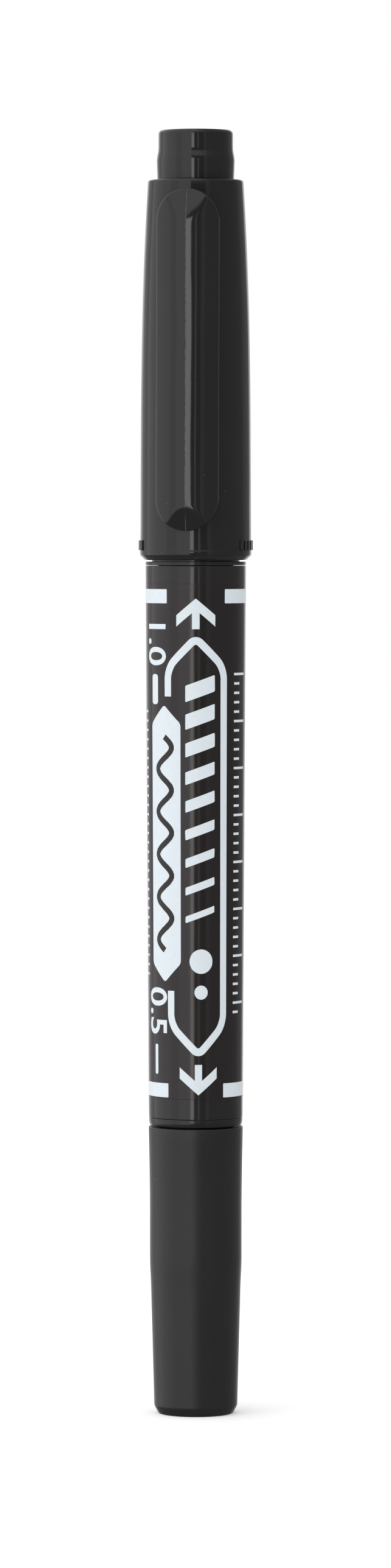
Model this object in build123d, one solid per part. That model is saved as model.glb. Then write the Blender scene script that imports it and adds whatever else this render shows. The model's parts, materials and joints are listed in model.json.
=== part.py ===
from build123d import *

import os
from math import radians, sin, sqrt

# A twin-tip permanent marker standing on its small cap. Millimetres, +Z along the pen,
# origin at the centre of the small cap's flat end, clip on the -Y side.

# ---- clearances -------------------------------------------------------------------
running = 0.04  # radial, a snap bead or a seal in the bore it slides in
seated = 0.02  # radial, two pieces of one body pushed together
slide_gap = 0.15  # radial, a piece that passes through another without guiding
seam = 0.06  # axial, the closed joint line between the section flange and the barrel
cap_gap = 0.18  # axial, a closed cap's mouth to the shoulder that it faces
inner_gap = 0.2  # axial, between inner pieces that face each other

# ---- lengths along the pen ----------------------------------------------------------
collar_height = 0.85
barrel_length = 58.9
flange_height = 0.36
tail_height = 5.3

# ---- ink cartridge ------------------------------------------------------------------
cartridge_r = 3.7
cartridge_wall = 0.45
wrap_thickness = 0.15
plug_flange = 1.0  # thickness of each end plug's flange
plug_spigot = 3.8  # how far each end plug reaches into the tube
wick_r = 1.0
wick_depth = 5.0  # how far the wick and the bullet nib reach into the wadding

# ---- bullet tip (top end) -----------------------------------------------------------
bullet_nib_r = 1.1
bullet_point_r = 0.5
bullet_point_length = 2.6
bullet_nib_reach = 5.0  # nib showing past the section's nose
bullet_stem_wall = 0.9  # end plug around the nib, in the section's nose
bullet_stem_length = 9.0
section_spigot = 6.5  # depth of the section in the barrel
section_wall = 0.55  # behind the seal groove
seat_step = 1.14  # from the neck out to the big cap's seat
seat_length = 7.8
seat_bead_rise = 3.8
neck_wall = 0.6  # around the end plug's neck, where the inner cap seals
neck_length = 5.0
nose_length = 9.2
nose_tip_wall = 0.6
seal_section = 0.55
seal_height = 1.2

# ---- fine tip (bottom end) and the tail plug, which takes the same cap ------------------
fine_seat_step = 1.12  # from the nose out to the small cap's seat
fine_seat_length = 6.2
fine_nose_wall = 0.81
fine_nose_length = 6.1
fine_cone_length = 6.1
fine_tip_wall = 0.55
fine_spigot = 4.2  # depth of the fine section in the barrel
fine_neck_wall = 0.9  # end plug around the wick
fine_stem_wall = 0.3  # end plug around the nib's sleeve
fine_stem_length = 7.4
stem_inset = 0.8  # an end plug's stem ends this far inside its section's tip
fine_nib_r = 0.5
fine_point_r = 0.22
fine_point_length = 0.8
fine_nib_reach = 2.4  # nib showing past its sleeve
fine_nib_rear = 7.0  # nib inside the plug, above the sleeve
sleeve_wall = 0.45
sleeve_reach = 2.7
sleeve_depth = 3.8
sleeve_taper = 1.2
sleeve_mouth_wall = 0.2

# ---- snap beads ---------------------------------------------------------------------
bead_height = 0.185
bead_length = 2.4
bead_drop = 1.9  # from the shoulder that the cap faces to the bead

# ---- barrel and its printed film ------------------------------------------------------
cartridge_room = 0.4  # radial gap around the cartridge
barrel_low_wall = 0.936
barrel_top_wall = 1.267
film_thickness = 0.12
film_low_margin = 2.2
film_top_margin = 1.9
collar_step = 0.04
collar_round = 0.35

# ---- small cap ------------------------------------------------------------------------
small_mouth_wall = 0.84
small_waist_wall = 0.71
small_waist_drop, small_waist_height = 9.0, 4.9  # below the mouth, and its straight stretch
small_knee_wall = 1.19
small_knee_drop = 17.2
small_end_wall = 0.85
small_mouth_flare = 0.02  # slope of the flare at the mouth
small_end_chamfer = 0.85
small_end_inset = 0.46
small_floor = 1.4
small_end_room = 3.83  # free height under the inner cap
small_bore_step = 0.6
inner_cap_wall = 0.65
tip_room = 2.4  # free height past a nib in its inner cap

# ---- big cap --------------------------------------------------------------------------
big_lip_wall = 1.0
big_lip_bead = 0.045
big_lip_height = 0.9
big_mouth_chamfer = 0.5
big_bore_step = 0.5
big_body_wall, big_body_drop = 1.38, 19.8
big_shoulder_wall, big_shoulder_drop = 1.15, 10.0
big_top_wall = 1.33
big_top_round = 0.25
grip_count = 8  # raised grip pips on each side of the lip
grip_first_deg, grip_step_deg = 64.0, 7.0
grip_width, grip_height, grip_proud = 0.42, 1.05, 0.17
grip_rise = 1.05

# ---- tail plug --------------------------------------------------------------------------
tail_foot_step = 0.11  # the plug's foot stands out from its seat
tail_shoulder = 0.35  # and its foot from its spigot
tail_spigot = 10.33  # depth of the plug in the big cap
tail_wall = 1.1
tail_top = 1.6
tail_round = 0.3
tail_bead_rise = 2.2

# ---- clip -------------------------------------------------------------------------------
clip_width = 6.74
clip_crown_r = 5.0
clip_crown_height = 1.6
clip_gap = 0.5
clip_top_drop = 1.1
clip_end_rise = 3.1
clip_top_facet, clip_top_fall = 2.2, 0.7
clip_end_facet, clip_end_fall = 2.6, 0.72
clip_nub_r = 0.5
clip_nub_rise = 2.6
clip_nub_gap = 0.15
clip_root_drop = 4.5
clip_knuckle_r = 0.5
clip_knuckle_width = 2.4
clip_knuckle_sink = 0.5  # from the cap's surface to the knuckle's axis
clip_stalk = 0.7  # thickness of the web between the knuckle and the clip
clip_room = 0.12

# ---- heights worked out from the lengths ----------------------------------------------
small_inner_z = small_floor + small_end_room + inner_cap_wall
fine_point_z = small_inner_z + tip_room
sleeve_end_z = fine_point_z + fine_nib_reach
fine_stem_z = sleeve_end_z + sleeve_reach
fine_tip_z = fine_stem_z - stem_inset
fine_nose_z = fine_tip_z + fine_cone_length
fine_seat_end_z = fine_nose_z + fine_nose_length
collar_z = fine_seat_end_z + fine_seat_length
small_mouth_z = collar_z - cap_gap
barrel_z = collar_z + collar_height
barrel_top_z = barrel_z + barrel_length
flange_z = barrel_top_z + seam
seat_z = flange_z + flange_height
big_mouth_z = seat_z + cap_gap

fine_plug_z = barrel_z + fine_spigot + inner_gap
tube_z = fine_plug_z + plug_flange
fine_stem_top_z = fine_stem_z + fine_stem_length
fine_nib_top_z = fine_stem_z + sleeve_depth + fine_nib_rear

section_z = barrel_top_z - section_spigot
tube_top_z = section_z - inner_gap - plug_flange
seat_end_z = seat_z + seat_length
neck_end_z = seat_end_z + neck_length
nose_end_z = neck_end_z + nose_length
stem_end_z = nose_end_z - stem_inset
stem_z = stem_end_z - bullet_stem_length
bullet_point_z = nose_end_z + bullet_nib_reach
wadding_z = tube_z + plug_spigot + inner_gap
wadding_top_z = tube_top_z - plug_spigot - inner_gap

big_inner_z = bullet_point_z + tip_room
tail_spigot_z = big_inner_z + inner_cap_wall + inner_gap
big_top_z = tail_spigot_z + tail_spigot
tail_top_z = big_top_z + tail_height

# ---- radii worked out from the fits -----------------------------------------------------
tube_bore_r = cartridge_r - cartridge_wall
wrap_r = tube_bore_r - seated
wadding_r = wrap_r - wrap_thickness
barrel_bore_r = cartridge_r + cartridge_room
barrel_low_r = barrel_bore_r + barrel_low_wall
barrel_top_r = barrel_bore_r + barrel_top_wall

section_spigot_r = barrel_bore_r - running - seated
seal_r = barrel_bore_r - running
seal_groove_r = seal_r - seal_section
section_bore_r = seal_groove_r - section_wall
bullet_neck_r = section_bore_r - slide_gap
bullet_stem_r = bullet_nib_r + bullet_stem_wall
nose_bore_r = bullet_stem_r + slide_gap
nose_tip_r = nose_bore_r + nose_tip_wall
neck_r = section_bore_r + neck_wall
seat_r = neck_r + seat_step

sleeve_r = fine_nib_r + sleeve_wall
fine_stem_r = sleeve_r + fine_stem_wall
fine_tip_bore_r = fine_stem_r + slide_gap
fine_tip_r = fine_tip_bore_r + fine_tip_wall
fine_neck_r = wick_r + fine_neck_wall
fine_bore_r = fine_neck_r + slide_gap
fine_nose_r = fine_bore_r + fine_nose_wall
fine_seat_r = fine_nose_r + fine_seat_step

small_bore_r = fine_seat_r + bead_height + running
small_inner_bore_r = small_bore_r - small_bore_step
small_mouth_r = small_bore_r + small_mouth_wall
small_waist_r = small_bore_r + small_waist_wall
small_knee_r = small_inner_bore_r + small_knee_wall
small_end_r = small_inner_bore_r + small_end_wall
collar_r = small_mouth_r - collar_step

tail_foot_r = fine_seat_r + tail_foot_step
tail_spigot_r = tail_foot_r - tail_shoulder
tail_bore_r = tail_spigot_r + seated

big_bore_r = seat_r + bead_height + running
big_inner_bore_r = big_bore_r - big_bore_step
big_lip_r = big_bore_r + big_lip_wall
big_body_r = big_inner_bore_r + big_body_wall
big_shoulder_r = big_inner_bore_r + big_shoulder_wall
big_top_r = tail_bore_r + big_top_wall


def at(radius, height):
    """A point of an outline, beside the pen's axis."""
    return (radius, 0, height)


def line(*points):
    """A run of straight lines through these (radius, height) points."""
    return Polyline(*(at(*point) for point in points))


def turned(*lines):
    """The solid that a closed outline sweeps in one turn about the pen's axis."""
    edges = [edge for run in lines for edge in run.edges()]
    return revolve(make_face(edges), Axis.Z)


def tube(outer, inner, low, high):
    """A plain straight tube."""
    return turned(line((inner, low), (outer, low), (outer, high), (inner, high), (inner, low)))


def barrel_r(height):
    """The barrel's outer radius at a height: a straight taper."""
    share = (height - barrel_z) / barrel_length
    return barrel_low_r + share * (barrel_top_r - barrel_low_r)


def bead(radius, middle, up=True):
    """A snap bead's rounded outline on a seat of this radius."""
    low, high = middle - bead_length / 2, middle + bead_length / 2
    start, end = (low, high) if up else (high, low)
    return ThreePointArc(at(radius, start), at(radius + bead_height, middle), at(radius, end))


# ---- barrel ---------------------------------------------------------------------------
film_z, film_top_z = barrel_z + film_low_margin, barrel_top_z - film_top_margin


def make_barrel():
    """The tapered outer tube, with a shallow band for the printed film."""
    low, high = barrel_r(film_z), barrel_r(film_top_z)
    return turned(
        line(
            (barrel_bore_r, barrel_z),
            (barrel_low_r, barrel_z),
            (low, film_z),
            (low - film_thickness, film_z),
            (high - film_thickness, film_top_z),
            (high, film_top_z),
            (barrel_top_r, barrel_top_z),
            (barrel_bore_r, barrel_top_z),
            (barrel_bore_r, barrel_z),
        )
    )


def make_label_film():
    """The printed film that fills the barrel's band flush."""
    low, high = barrel_r(film_z), barrel_r(film_top_z)
    return turned(
        line(
            (low - film_thickness, film_z),
            (low, film_z),
            (high, film_top_z),
            (high - film_thickness, film_top_z),
            (low - film_thickness, film_z),
        )
    )


# ---- fine tip ---------------------------------------------------------------------------
def make_fine_section():
    """The fixed lower section: spigot in the barrel, collar, small cap's seat and nose."""
    spigot_r, spigot_top_z = barrel_bore_r - seated, barrel_z + fine_spigot
    step_z = fine_stem_top_z + inner_gap
    middle = collar_z - bead_drop
    return turned(
        line(
            (fine_seat_r, middle + bead_length / 2),
            (fine_seat_r, collar_z),
            (collar_r - collar_round, collar_z),
            (collar_r, collar_z + collar_round),
            (collar_r, barrel_z),
            (spigot_r, barrel_z),
            (spigot_r, spigot_top_z),
            (fine_bore_r, spigot_top_z),
            (fine_bore_r, step_z),
            (fine_tip_bore_r, step_z),
            (fine_tip_bore_r, fine_tip_z),
            (fine_tip_r, fine_tip_z),
            (fine_nose_r, fine_nose_z),
            (fine_nose_r, fine_seat_end_z),
            (fine_seat_r - small_bore_step, fine_seat_end_z),
            (fine_seat_r, fine_seat_end_z + small_bore_step),
            (fine_seat_r, middle - bead_length / 2),
        ),
        bead(fine_seat_r, middle),
    )


def make_fine_end_plug():
    """The cartridge's lower plug: flange, spigot in the tube, and a neck down the section."""
    spigot_r, top_z = tube_bore_r - seated, tube_z + plug_spigot
    sleeve_top_z = fine_stem_z + sleeve_depth
    return turned(
        line(
            (wick_r, top_z),
            (wick_r, fine_nib_top_z),
            (fine_nib_r, fine_nib_top_z),
            (fine_nib_r, sleeve_top_z),
            (sleeve_r, sleeve_top_z),
            (sleeve_r, fine_stem_z),
            (fine_stem_r, fine_stem_z),
            (fine_stem_r, fine_stem_top_z + inner_gap * 2),
            (fine_neck_r, fine_stem_top_z + inner_gap * 4),
            (fine_neck_r, fine_plug_z),
            (cartridge_r, fine_plug_z),
            (cartridge_r, tube_z),
            (spigot_r, tube_z),
            (spigot_r, top_z),
            (wick_r, top_z),
        )
    )


def make_fine_nib_sleeve():
    """The steel sleeve that holds the fine nib, drawn in at its mouth."""
    top_z = fine_stem_z + sleeve_depth
    return turned(
        line(
            (fine_nib_r, sleeve_end_z),
            (fine_nib_r + sleeve_mouth_wall, sleeve_end_z),
            (sleeve_r, sleeve_end_z + sleeve_taper),
            (sleeve_r, top_z),
            (fine_nib_r, top_z),
            (fine_nib_r, sleeve_end_z),
        )
    )


def make_fine_nib():
    """The hard plastic nib, coned to its point."""
    return turned(
        line(
            (0, fine_nib_top_z),
            (0, fine_point_z),
            (fine_point_r, fine_point_z),
            (fine_nib_r, fine_point_z + fine_point_length),
            (fine_nib_r, fine_nib_top_z),
            (0, fine_nib_top_z),
        )
    )


def make_fine_feed_wick():
    """The fibre wick that carries ink from the wadding to the fine nib."""
    return Pos(0, 0, fine_nib_top_z) * Cylinder(
        wick_r, wadding_z + wick_depth - fine_nib_top_z, align=(Align.CENTER, Align.CENTER, Align.MIN)
    )


# ---- ink cartridge ------------------------------------------------------------------------
def make_cartridge_tube():
    return tube(cartridge_r, tube_bore_r, tube_z, tube_top_z)


def make_wadding_wrap():
    """The thin film rolled round the wadding."""
    return tube(wrap_r, wadding_r, wadding_z, wadding_top_z)


def make_ink_wadding():
    """The fibre rod that holds the ink, with a hole at each end for the wick and the nib."""
    return turned(
        line(
            (0, wadding_z + wick_depth),
            (wick_r, wadding_z + wick_depth),
            (wick_r, wadding_z),
            (wadding_r, wadding_z),
            (wadding_r, wadding_top_z),
            (bullet_nib_r, wadding_top_z),
            (bullet_nib_r, wadding_top_z - wick_depth),
            (0, wadding_top_z - wick_depth),
            (0, wadding_z + wick_depth),
        )
    )


def make_bullet_end_plug():
    """The cartridge's upper plug: spigot, flange, neck and the stem that grips the nib."""
    spigot_r, low_z = tube_bore_r - seated, tube_top_z - plug_spigot
    flange_top_z = tube_top_z + plug_flange
    return turned(
        line(
            (bullet_nib_r, low_z),
            (spigot_r, low_z),
            (spigot_r, tube_top_z),
            (cartridge_r, tube_top_z),
            (cartridge_r, flange_top_z),
            (bullet_neck_r, flange_top_z),
            (bullet_neck_r, stem_z - inner_gap * 3),
            (bullet_stem_r, stem_z),
            (bullet_stem_r, stem_end_z),
            (bullet_nib_r, stem_end_z),
            (bullet_nib_r, low_z),
        )
    )


def make_bullet_nib():
    """The felt nib: a rod from the wadding to a rounded bullet point."""
    cone_z = bullet_point_z - bullet_point_length
    ball_z = bullet_point_z - bullet_point_r
    round_off = bullet_point_r * sin(radians(45))
    low_z = wadding_top_z - wick_depth
    return turned(
        line(
            (0, bullet_point_z),
            (0, low_z),
            (bullet_nib_r, low_z),
            (bullet_nib_r, cone_z),
            (bullet_point_r, ball_z),
        ),
        ThreePointArc(
            at(bullet_point_r, ball_z), at(round_off, ball_z + round_off), at(0, bullet_point_z)
        ),
    )


# ---- bullet section -------------------------------------------------------------------
seal_z = section_z + seal_height


def make_bullet_section():
    """The removable upper section: spigot with a seal groove, flange, cap seat and nose."""
    middle = seat_z + seat_bead_rise
    return turned(
        line(
            (seat_r, middle - bead_length / 2),
            (seat_r, seat_z),
            (barrel_top_r, seat_z),
            (barrel_top_r, flange_z),
            (section_spigot_r, flange_z),
            (section_spigot_r, seal_z + seal_height),
            (seal_groove_r, seal_z + seal_height),
            (seal_groove_r, seal_z),
            (section_spigot_r, seal_z),
            (section_spigot_r, section_z),
            (section_bore_r, section_z),
            (section_bore_r, stem_z),
            (nose_bore_r, stem_z + inner_gap * 2),
            (nose_bore_r, nose_end_z),
            (nose_tip_r, nose_end_z),
            (neck_r, neck_end_z),
            (neck_r, seat_end_z),
            (seat_r - big_bore_step, seat_end_z),
            (seat_r, seat_end_z - big_bore_step),
            (seat_r, middle + bead_length / 2),
        ),
        bead(seat_r, middle, up=False),
    )


def make_section_seal_ring():
    """The rubber ring in the section's groove."""
    ring = tube(seal_r, seal_groove_r, seal_z, seal_z + seal_height)
    return fillet(ring.edges().filter_by(GeomType.CIRCLE), seal_section / 3)


# ---- big cap ----------------------------------------------------------------------------
def big_cap_side(proud=0.0):
    """The big cap's swelling side from its lip to its top edge, or this far outside it."""
    return Spline(
        at(big_lip_r + proud, big_mouth_z + big_lip_height * 2),
        at(big_body_r + proud, big_top_z - big_body_drop),
        at(big_shoulder_r + proud, big_top_z - big_shoulder_drop),
        at(big_top_r + proud, big_top_z - big_top_round),
    )


def clip_root():
    """Where the clip's knuckle lies: its distance out from the pen's axis and its height."""
    share = clip_root_drop / big_shoulder_drop
    surface = big_top_r + share * (big_shoulder_r - big_top_r)
    return surface - clip_knuckle_sink, big_top_z - clip_root_drop


def make_big_cap():
    """The long cap over the bullet tip, with grip pips at its lip and a pocket for the clip."""
    step_z = seat_end_z + inner_gap
    tail_step_z = tail_spigot_z - inner_gap
    lip_z = big_mouth_z + big_lip_height
    body = turned(
        big_cap_side(),
        line(
            (big_top_r, big_top_z - big_top_round),
            (big_top_r - big_top_round, big_top_z),
            (tail_bore_r, big_top_z),
            (tail_bore_r, tail_step_z),
            (big_inner_bore_r, tail_step_z),
            (big_inner_bore_r, step_z),
            (big_bore_r, step_z),
            (big_bore_r, big_mouth_z),
            (big_lip_r - big_mouth_chamfer, big_mouth_z),
            (big_lip_r, big_mouth_z + big_mouth_chamfer),
            (big_lip_r + big_lip_bead, lip_z),
            (big_lip_r, lip_z + big_mouth_chamfer),
            (big_lip_r, big_mouth_z + big_lip_height * 2),
        ),
    )
    pip = Pos(0, -big_lip_r, big_mouth_z + grip_rise + grip_height / 2) * Box(
        grip_width, grip_proud * 2, grip_height
    )
    for side in (-1, 1):
        for i in range(grip_count):
            body += Rot(0, 0, side * (grip_first_deg + i * grip_step_deg)) * pip
    root_y, root_z = clip_root()
    pocket_r = clip_knuckle_r + clip_room
    pocket_width = clip_knuckle_width + clip_room * 2
    pocket = Pos(0, -root_y, root_z) * Rot(0, 90, 0) * Cylinder(pocket_r, pocket_width)
    mouth = Pos(0, -root_y, root_z) * Box(
        pocket_width, big_lip_r * 2, pocket_r * 2, align=(Align.CENTER, Align.MAX, Align.CENTER)
    )
    return body - pocket - mouth


def make_big_cap_liner():
    """The inner cap that seals on the section's neck and keeps the bullet nib wet."""
    outer, inner = big_inner_bore_r - seated, neck_r + running
    low_z, top_z = seat_end_z + inner_gap * 4, big_inner_z + inner_cap_wall
    return turned(
        line(
            (inner, low_z),
            (outer, low_z),
            (outer, top_z),
            (0, top_z),
            (0, big_inner_z),
            (inner, big_inner_z),
            (inner, low_z),
        )
    )


def make_tail_plug():
    """The plug in the big cap's top: a spigot, and outside it a seat for the small cap."""
    middle = big_top_z + tail_bead_rise
    high = middle + bead_length / 2
    bore = tail_spigot_r - tail_wall
    return turned(
        line(
            (fine_seat_r, high),
            (fine_seat_r, tail_top_z - tail_round),
        ),
        ThreePointArc(
            at(fine_seat_r, tail_top_z - tail_round),
            at(
                fine_seat_r - tail_round * (1 - sin(radians(45))),
                tail_top_z - tail_round * (1 - sin(radians(45))),
            ),
            at(fine_seat_r - tail_round, tail_top_z),
        ),
        line(
            (fine_seat_r - tail_round, tail_top_z),
            (0, tail_top_z),
            (0, tail_top_z - tail_top),
            (bore, tail_top_z - tail_top),
            (bore, tail_spigot_z),
            (tail_spigot_r, tail_spigot_z),
            (tail_spigot_r, big_top_z),
            (tail_foot_r, big_top_z),
            (tail_foot_r, middle - bead_length / 4),
        ),
        ThreePointArc(
            at(tail_foot_r, middle - bead_length / 4),
            at(fine_seat_r + bead_height, middle),
            at(fine_seat_r, high),
        ),
    )


# ---- clip -------------------------------------------------------------------------------
clip_low_z = big_mouth_z + clip_end_rise
clip_high_z = big_top_z - clip_top_drop
clip_length = clip_high_z - clip_low_z
clip_middle_z = (clip_low_z + clip_high_z) / 2
clip_low_crown = big_lip_r + clip_crown_height
clip_high_crown = big_shoulder_r + clip_crown_height - clip_gap


def clip_crown(height):
    """How far out the clip's straight crown line is at a height."""
    share = (height - clip_low_z) / clip_length
    return clip_low_crown + share * (clip_high_crown - clip_low_crown)


def facet(edge_z, end_z, fall):
    """What a sloping facet cuts off the clip's face, from the facet's edge to past its end."""
    slope = (fall + clip_crown(edge_z) - clip_crown(end_z)) / (end_z - edge_z)
    far_z = end_z * 2 - edge_z
    near, far = -clip_crown(edge_z), -clip_crown(edge_z) + slope * (far_z - edge_z)
    outer = near - clip_width
    corners = ((near, edge_z), (far, far_z), (outer, far_z), (outer, edge_z), (near, edge_z))
    side = Polyline(*((0, y, z) for y, z in corners))
    return extrude(make_face(side), clip_width, both=True, dir=(1, 0, 0))


def make_clip():
    """The pocket clip: a crowned stadium-shaped spring rooted on a knuckle in the big cap."""
    stadium = Plane.XZ * Pos(0, clip_middle_z) * Rot(0, 0, 90) * SlotOverall(clip_length, clip_width)
    blank = extrude(stadium, clip_low_crown * 2)
    lean = (clip_low_crown - clip_high_crown) / clip_length
    crown = extrude(
        Pos(0, clip_crown_r - clip_low_crown, clip_low_z) * Circle(clip_crown_r),
        clip_length * sqrt(1 + lean**2),
        dir=(0, lean, 1),
    )
    low_z, high_z = big_mouth_z + big_lip_height * 2, big_top_z - big_top_round
    cap_room = turned(
        line((big_top_r + clip_gap, high_z), (0, high_z), (0, low_z), (big_lip_r + clip_gap, low_z)),
        big_cap_side(clip_gap),
    )
    spring = blank & crown
    spring -= facet(clip_high_z - clip_top_facet, clip_high_z, clip_top_fall)
    spring -= facet(clip_low_z + clip_end_facet, clip_low_z, clip_end_fall)
    spring -= cap_room
    nub_y = big_lip_r + clip_nub_gap + clip_nub_r
    nub = Pos(0, -nub_y, clip_low_z + clip_nub_rise) * Sphere(clip_nub_r)
    root_y, root_z = clip_root()
    knuckle = Pos(0, -root_y, root_z) * Rot(0, 90, 0) * Cylinder(clip_knuckle_r, clip_knuckle_width)
    web = Pos(0, -root_y, root_z) * Box(
        clip_knuckle_width,
        clip_knuckle_sink + clip_gap * 2,
        clip_stalk,
        align=(Align.CENTER, Align.MAX, Align.CENTER),
    )
    return spring + nub + web + knuckle


# ---- small cap --------------------------------------------------------------------------
def make_small_cap():
    """The short cap over the fine tip: a flared mouth, a straight waist and a tapered end."""
    waist_high_z = small_mouth_z - small_waist_drop
    waist_low_z = waist_high_z - small_waist_height
    knee_z = small_mouth_z - small_knee_drop
    step_z = fine_seat_end_z - inner_gap
    taper = (small_knee_r - small_end_r) / (knee_z - small_end_chamfer)
    return turned(
        line(
            (0, small_floor),
            (0, 0),
            (small_end_r - small_end_inset, 0),
            (small_end_r, small_end_chamfer),
            (small_knee_r, knee_z),
        ),
        Spline(
            at(small_knee_r, knee_z),
            at(small_waist_r, waist_low_z),
            tangents=((taper, 0, 1), (0, 0, 1)),
        ),
        line((small_waist_r, waist_low_z), (small_waist_r, waist_high_z)),
        Spline(
            at(small_waist_r, waist_high_z),
            at(small_mouth_r, small_mouth_z),
            tangents=((0, 0, 1), (small_mouth_flare, 0, 1)),
        ),
        line(
            (small_mouth_r, small_mouth_z),
            (small_bore_r, small_mouth_z),
            (small_bore_r, step_z),
            (small_inner_bore_r, step_z - small_bore_step),
            (small_inner_bore_r, small_floor),
            (0, small_floor),
        ),
    )


def make_small_cap_liner():
    """The inner cap that seals on the fine section's nose."""
    outer, inner = small_inner_bore_r - seated, fine_nose_r + running
    low_z, top_z = small_inner_z - inner_cap_wall, fine_seat_end_z - small_bore_step - inner_gap * 4
    return turned(
        line(
            (0, low_z),
            (outer, low_z),
            (outer, top_z),
            (inner, top_z),
            (inner, small_inner_z),
            (0, small_inner_z),
            (0, low_z),
        )
    )


# ---- the files --------------------------------------------------------------------------
pieces = {
    "barrel": make_barrel,
    "label_film": make_label_film,
    "fine_section": make_fine_section,
    "cartridge_tube": make_cartridge_tube,
    "ink_wadding": make_ink_wadding,
    "wadding_wrap": make_wadding_wrap,
    "bullet_end_plug": make_bullet_end_plug,
    "bullet_nib": make_bullet_nib,
    "fine_end_plug": make_fine_end_plug,
    "fine_feed_wick": make_fine_feed_wick,
    "fine_nib_sleeve": make_fine_nib_sleeve,
    "fine_nib": make_fine_nib,
    "bullet_section": make_bullet_section,
    "section_seal_ring": make_section_seal_ring,
    "big_cap": make_big_cap,
    "big_cap_liner": make_big_cap_liner,
    "tail_plug": make_tail_plug,
    "clip": make_clip,
    "small_cap": make_small_cap,
    "small_cap_liner": make_small_cap_liner,
}

os.makedirs("parts", exist_ok=True)
for name, make in pieces.items():
    export_step(make(), f"parts/{name}.step")
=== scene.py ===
import json
from math import cos, pi, radians, sin, tan, tau

import bpy
from bpy.props import FloatProperty, FloatVectorProperty, PointerProperty
from mathutils import Matrix, Vector


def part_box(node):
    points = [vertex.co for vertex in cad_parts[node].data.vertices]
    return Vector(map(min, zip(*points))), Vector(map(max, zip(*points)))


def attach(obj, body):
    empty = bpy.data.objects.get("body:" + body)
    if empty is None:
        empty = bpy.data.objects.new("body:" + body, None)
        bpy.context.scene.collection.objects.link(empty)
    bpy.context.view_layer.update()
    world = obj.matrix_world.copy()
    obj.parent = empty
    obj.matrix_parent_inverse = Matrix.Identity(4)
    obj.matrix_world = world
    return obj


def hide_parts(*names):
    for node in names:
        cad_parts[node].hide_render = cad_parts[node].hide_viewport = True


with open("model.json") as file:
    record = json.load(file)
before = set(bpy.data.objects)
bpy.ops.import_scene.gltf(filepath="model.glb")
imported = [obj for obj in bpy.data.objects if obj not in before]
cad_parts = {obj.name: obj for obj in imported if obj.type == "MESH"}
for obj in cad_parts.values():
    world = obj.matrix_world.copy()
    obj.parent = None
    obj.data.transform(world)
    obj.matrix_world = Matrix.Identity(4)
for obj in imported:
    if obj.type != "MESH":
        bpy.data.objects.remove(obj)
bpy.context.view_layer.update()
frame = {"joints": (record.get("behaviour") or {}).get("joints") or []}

bl_info = {
    "name": "Twin-Tip Marker",
    "version": (1, 0, 0),
    "blender": (4, 5, 0),
    "location": "View3D > Sidebar > Marker",
    "description": "A twin-tip felt marker: caps, a clip, a printed barrel and a cartridge",
    "category": "Add Mesh",
}

MM = 0.001
TURN_STEPS = 128  # straight sides of a full turn
MERGE = 5e-7  # metres, vertices nearer than this are one
SMALL = 1e-6  # metres, how near a corner's vertex is looked for
SMOOTH_UP_TO, SHARP_FROM = radians(32), radians(38)  # angles between faces


# ---- sizes and colours that a user would change ----------------------------------------------
def length(description, millimetres):
    """A length property, given in millimetres."""
    return FloatProperty(
        description=description, default=millimetres * MM, unit="LENGTH", precision=5
    )


def colour(description, value):
    """A colour property."""
    return FloatVectorProperty(
        description=description, default=value, subtype="COLOR", size=3, min=0, max=1
    )


class MarkerBarrelSizes(bpy.types.PropertyGroup):
    """The barrel, its film and the fine section below it."""

    low_wall: length("Barrel wall at the small cap's end", 0.936)
    top_wall: length("Barrel wall at the big cap's end", 1.267)
    film: length("Thickness of the printed film", 0.12)
    edge: length("Rounding of the barrel's ends", 0.07)
    film_lap: length("How far the film's outer edge stands over its seam", 0.02)
    film_lap_width: length("Width of the film's lapped seam", 1.6)
    collar_round: length("Rounding of the collar above the small cap", 0.35)
    seat: length("Radius of the seat that the small cap grips", 3.98)
    seat_bead: length("Height of the snap bead on each seat", 0.185)
    seat_bead_length: length("Length of a snap bead", 2.4)
    bead_drop: length("From the collar to the bead's crest", 1.9)
    seat_length: length("Length of the small cap's seat", 6.2)
    nose: length("Radius of the fine section's nose", 2.86)
    nose_length: length("Length of the fine section's nose", 6.1)
    tip: length("Radius of the fine section's tip", 1.95)
    tip_bore: length("Radius of the hole in the fine section's tip", 1.4)
    bore: length("Radius of the bore of the fine section", 2.05)


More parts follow.
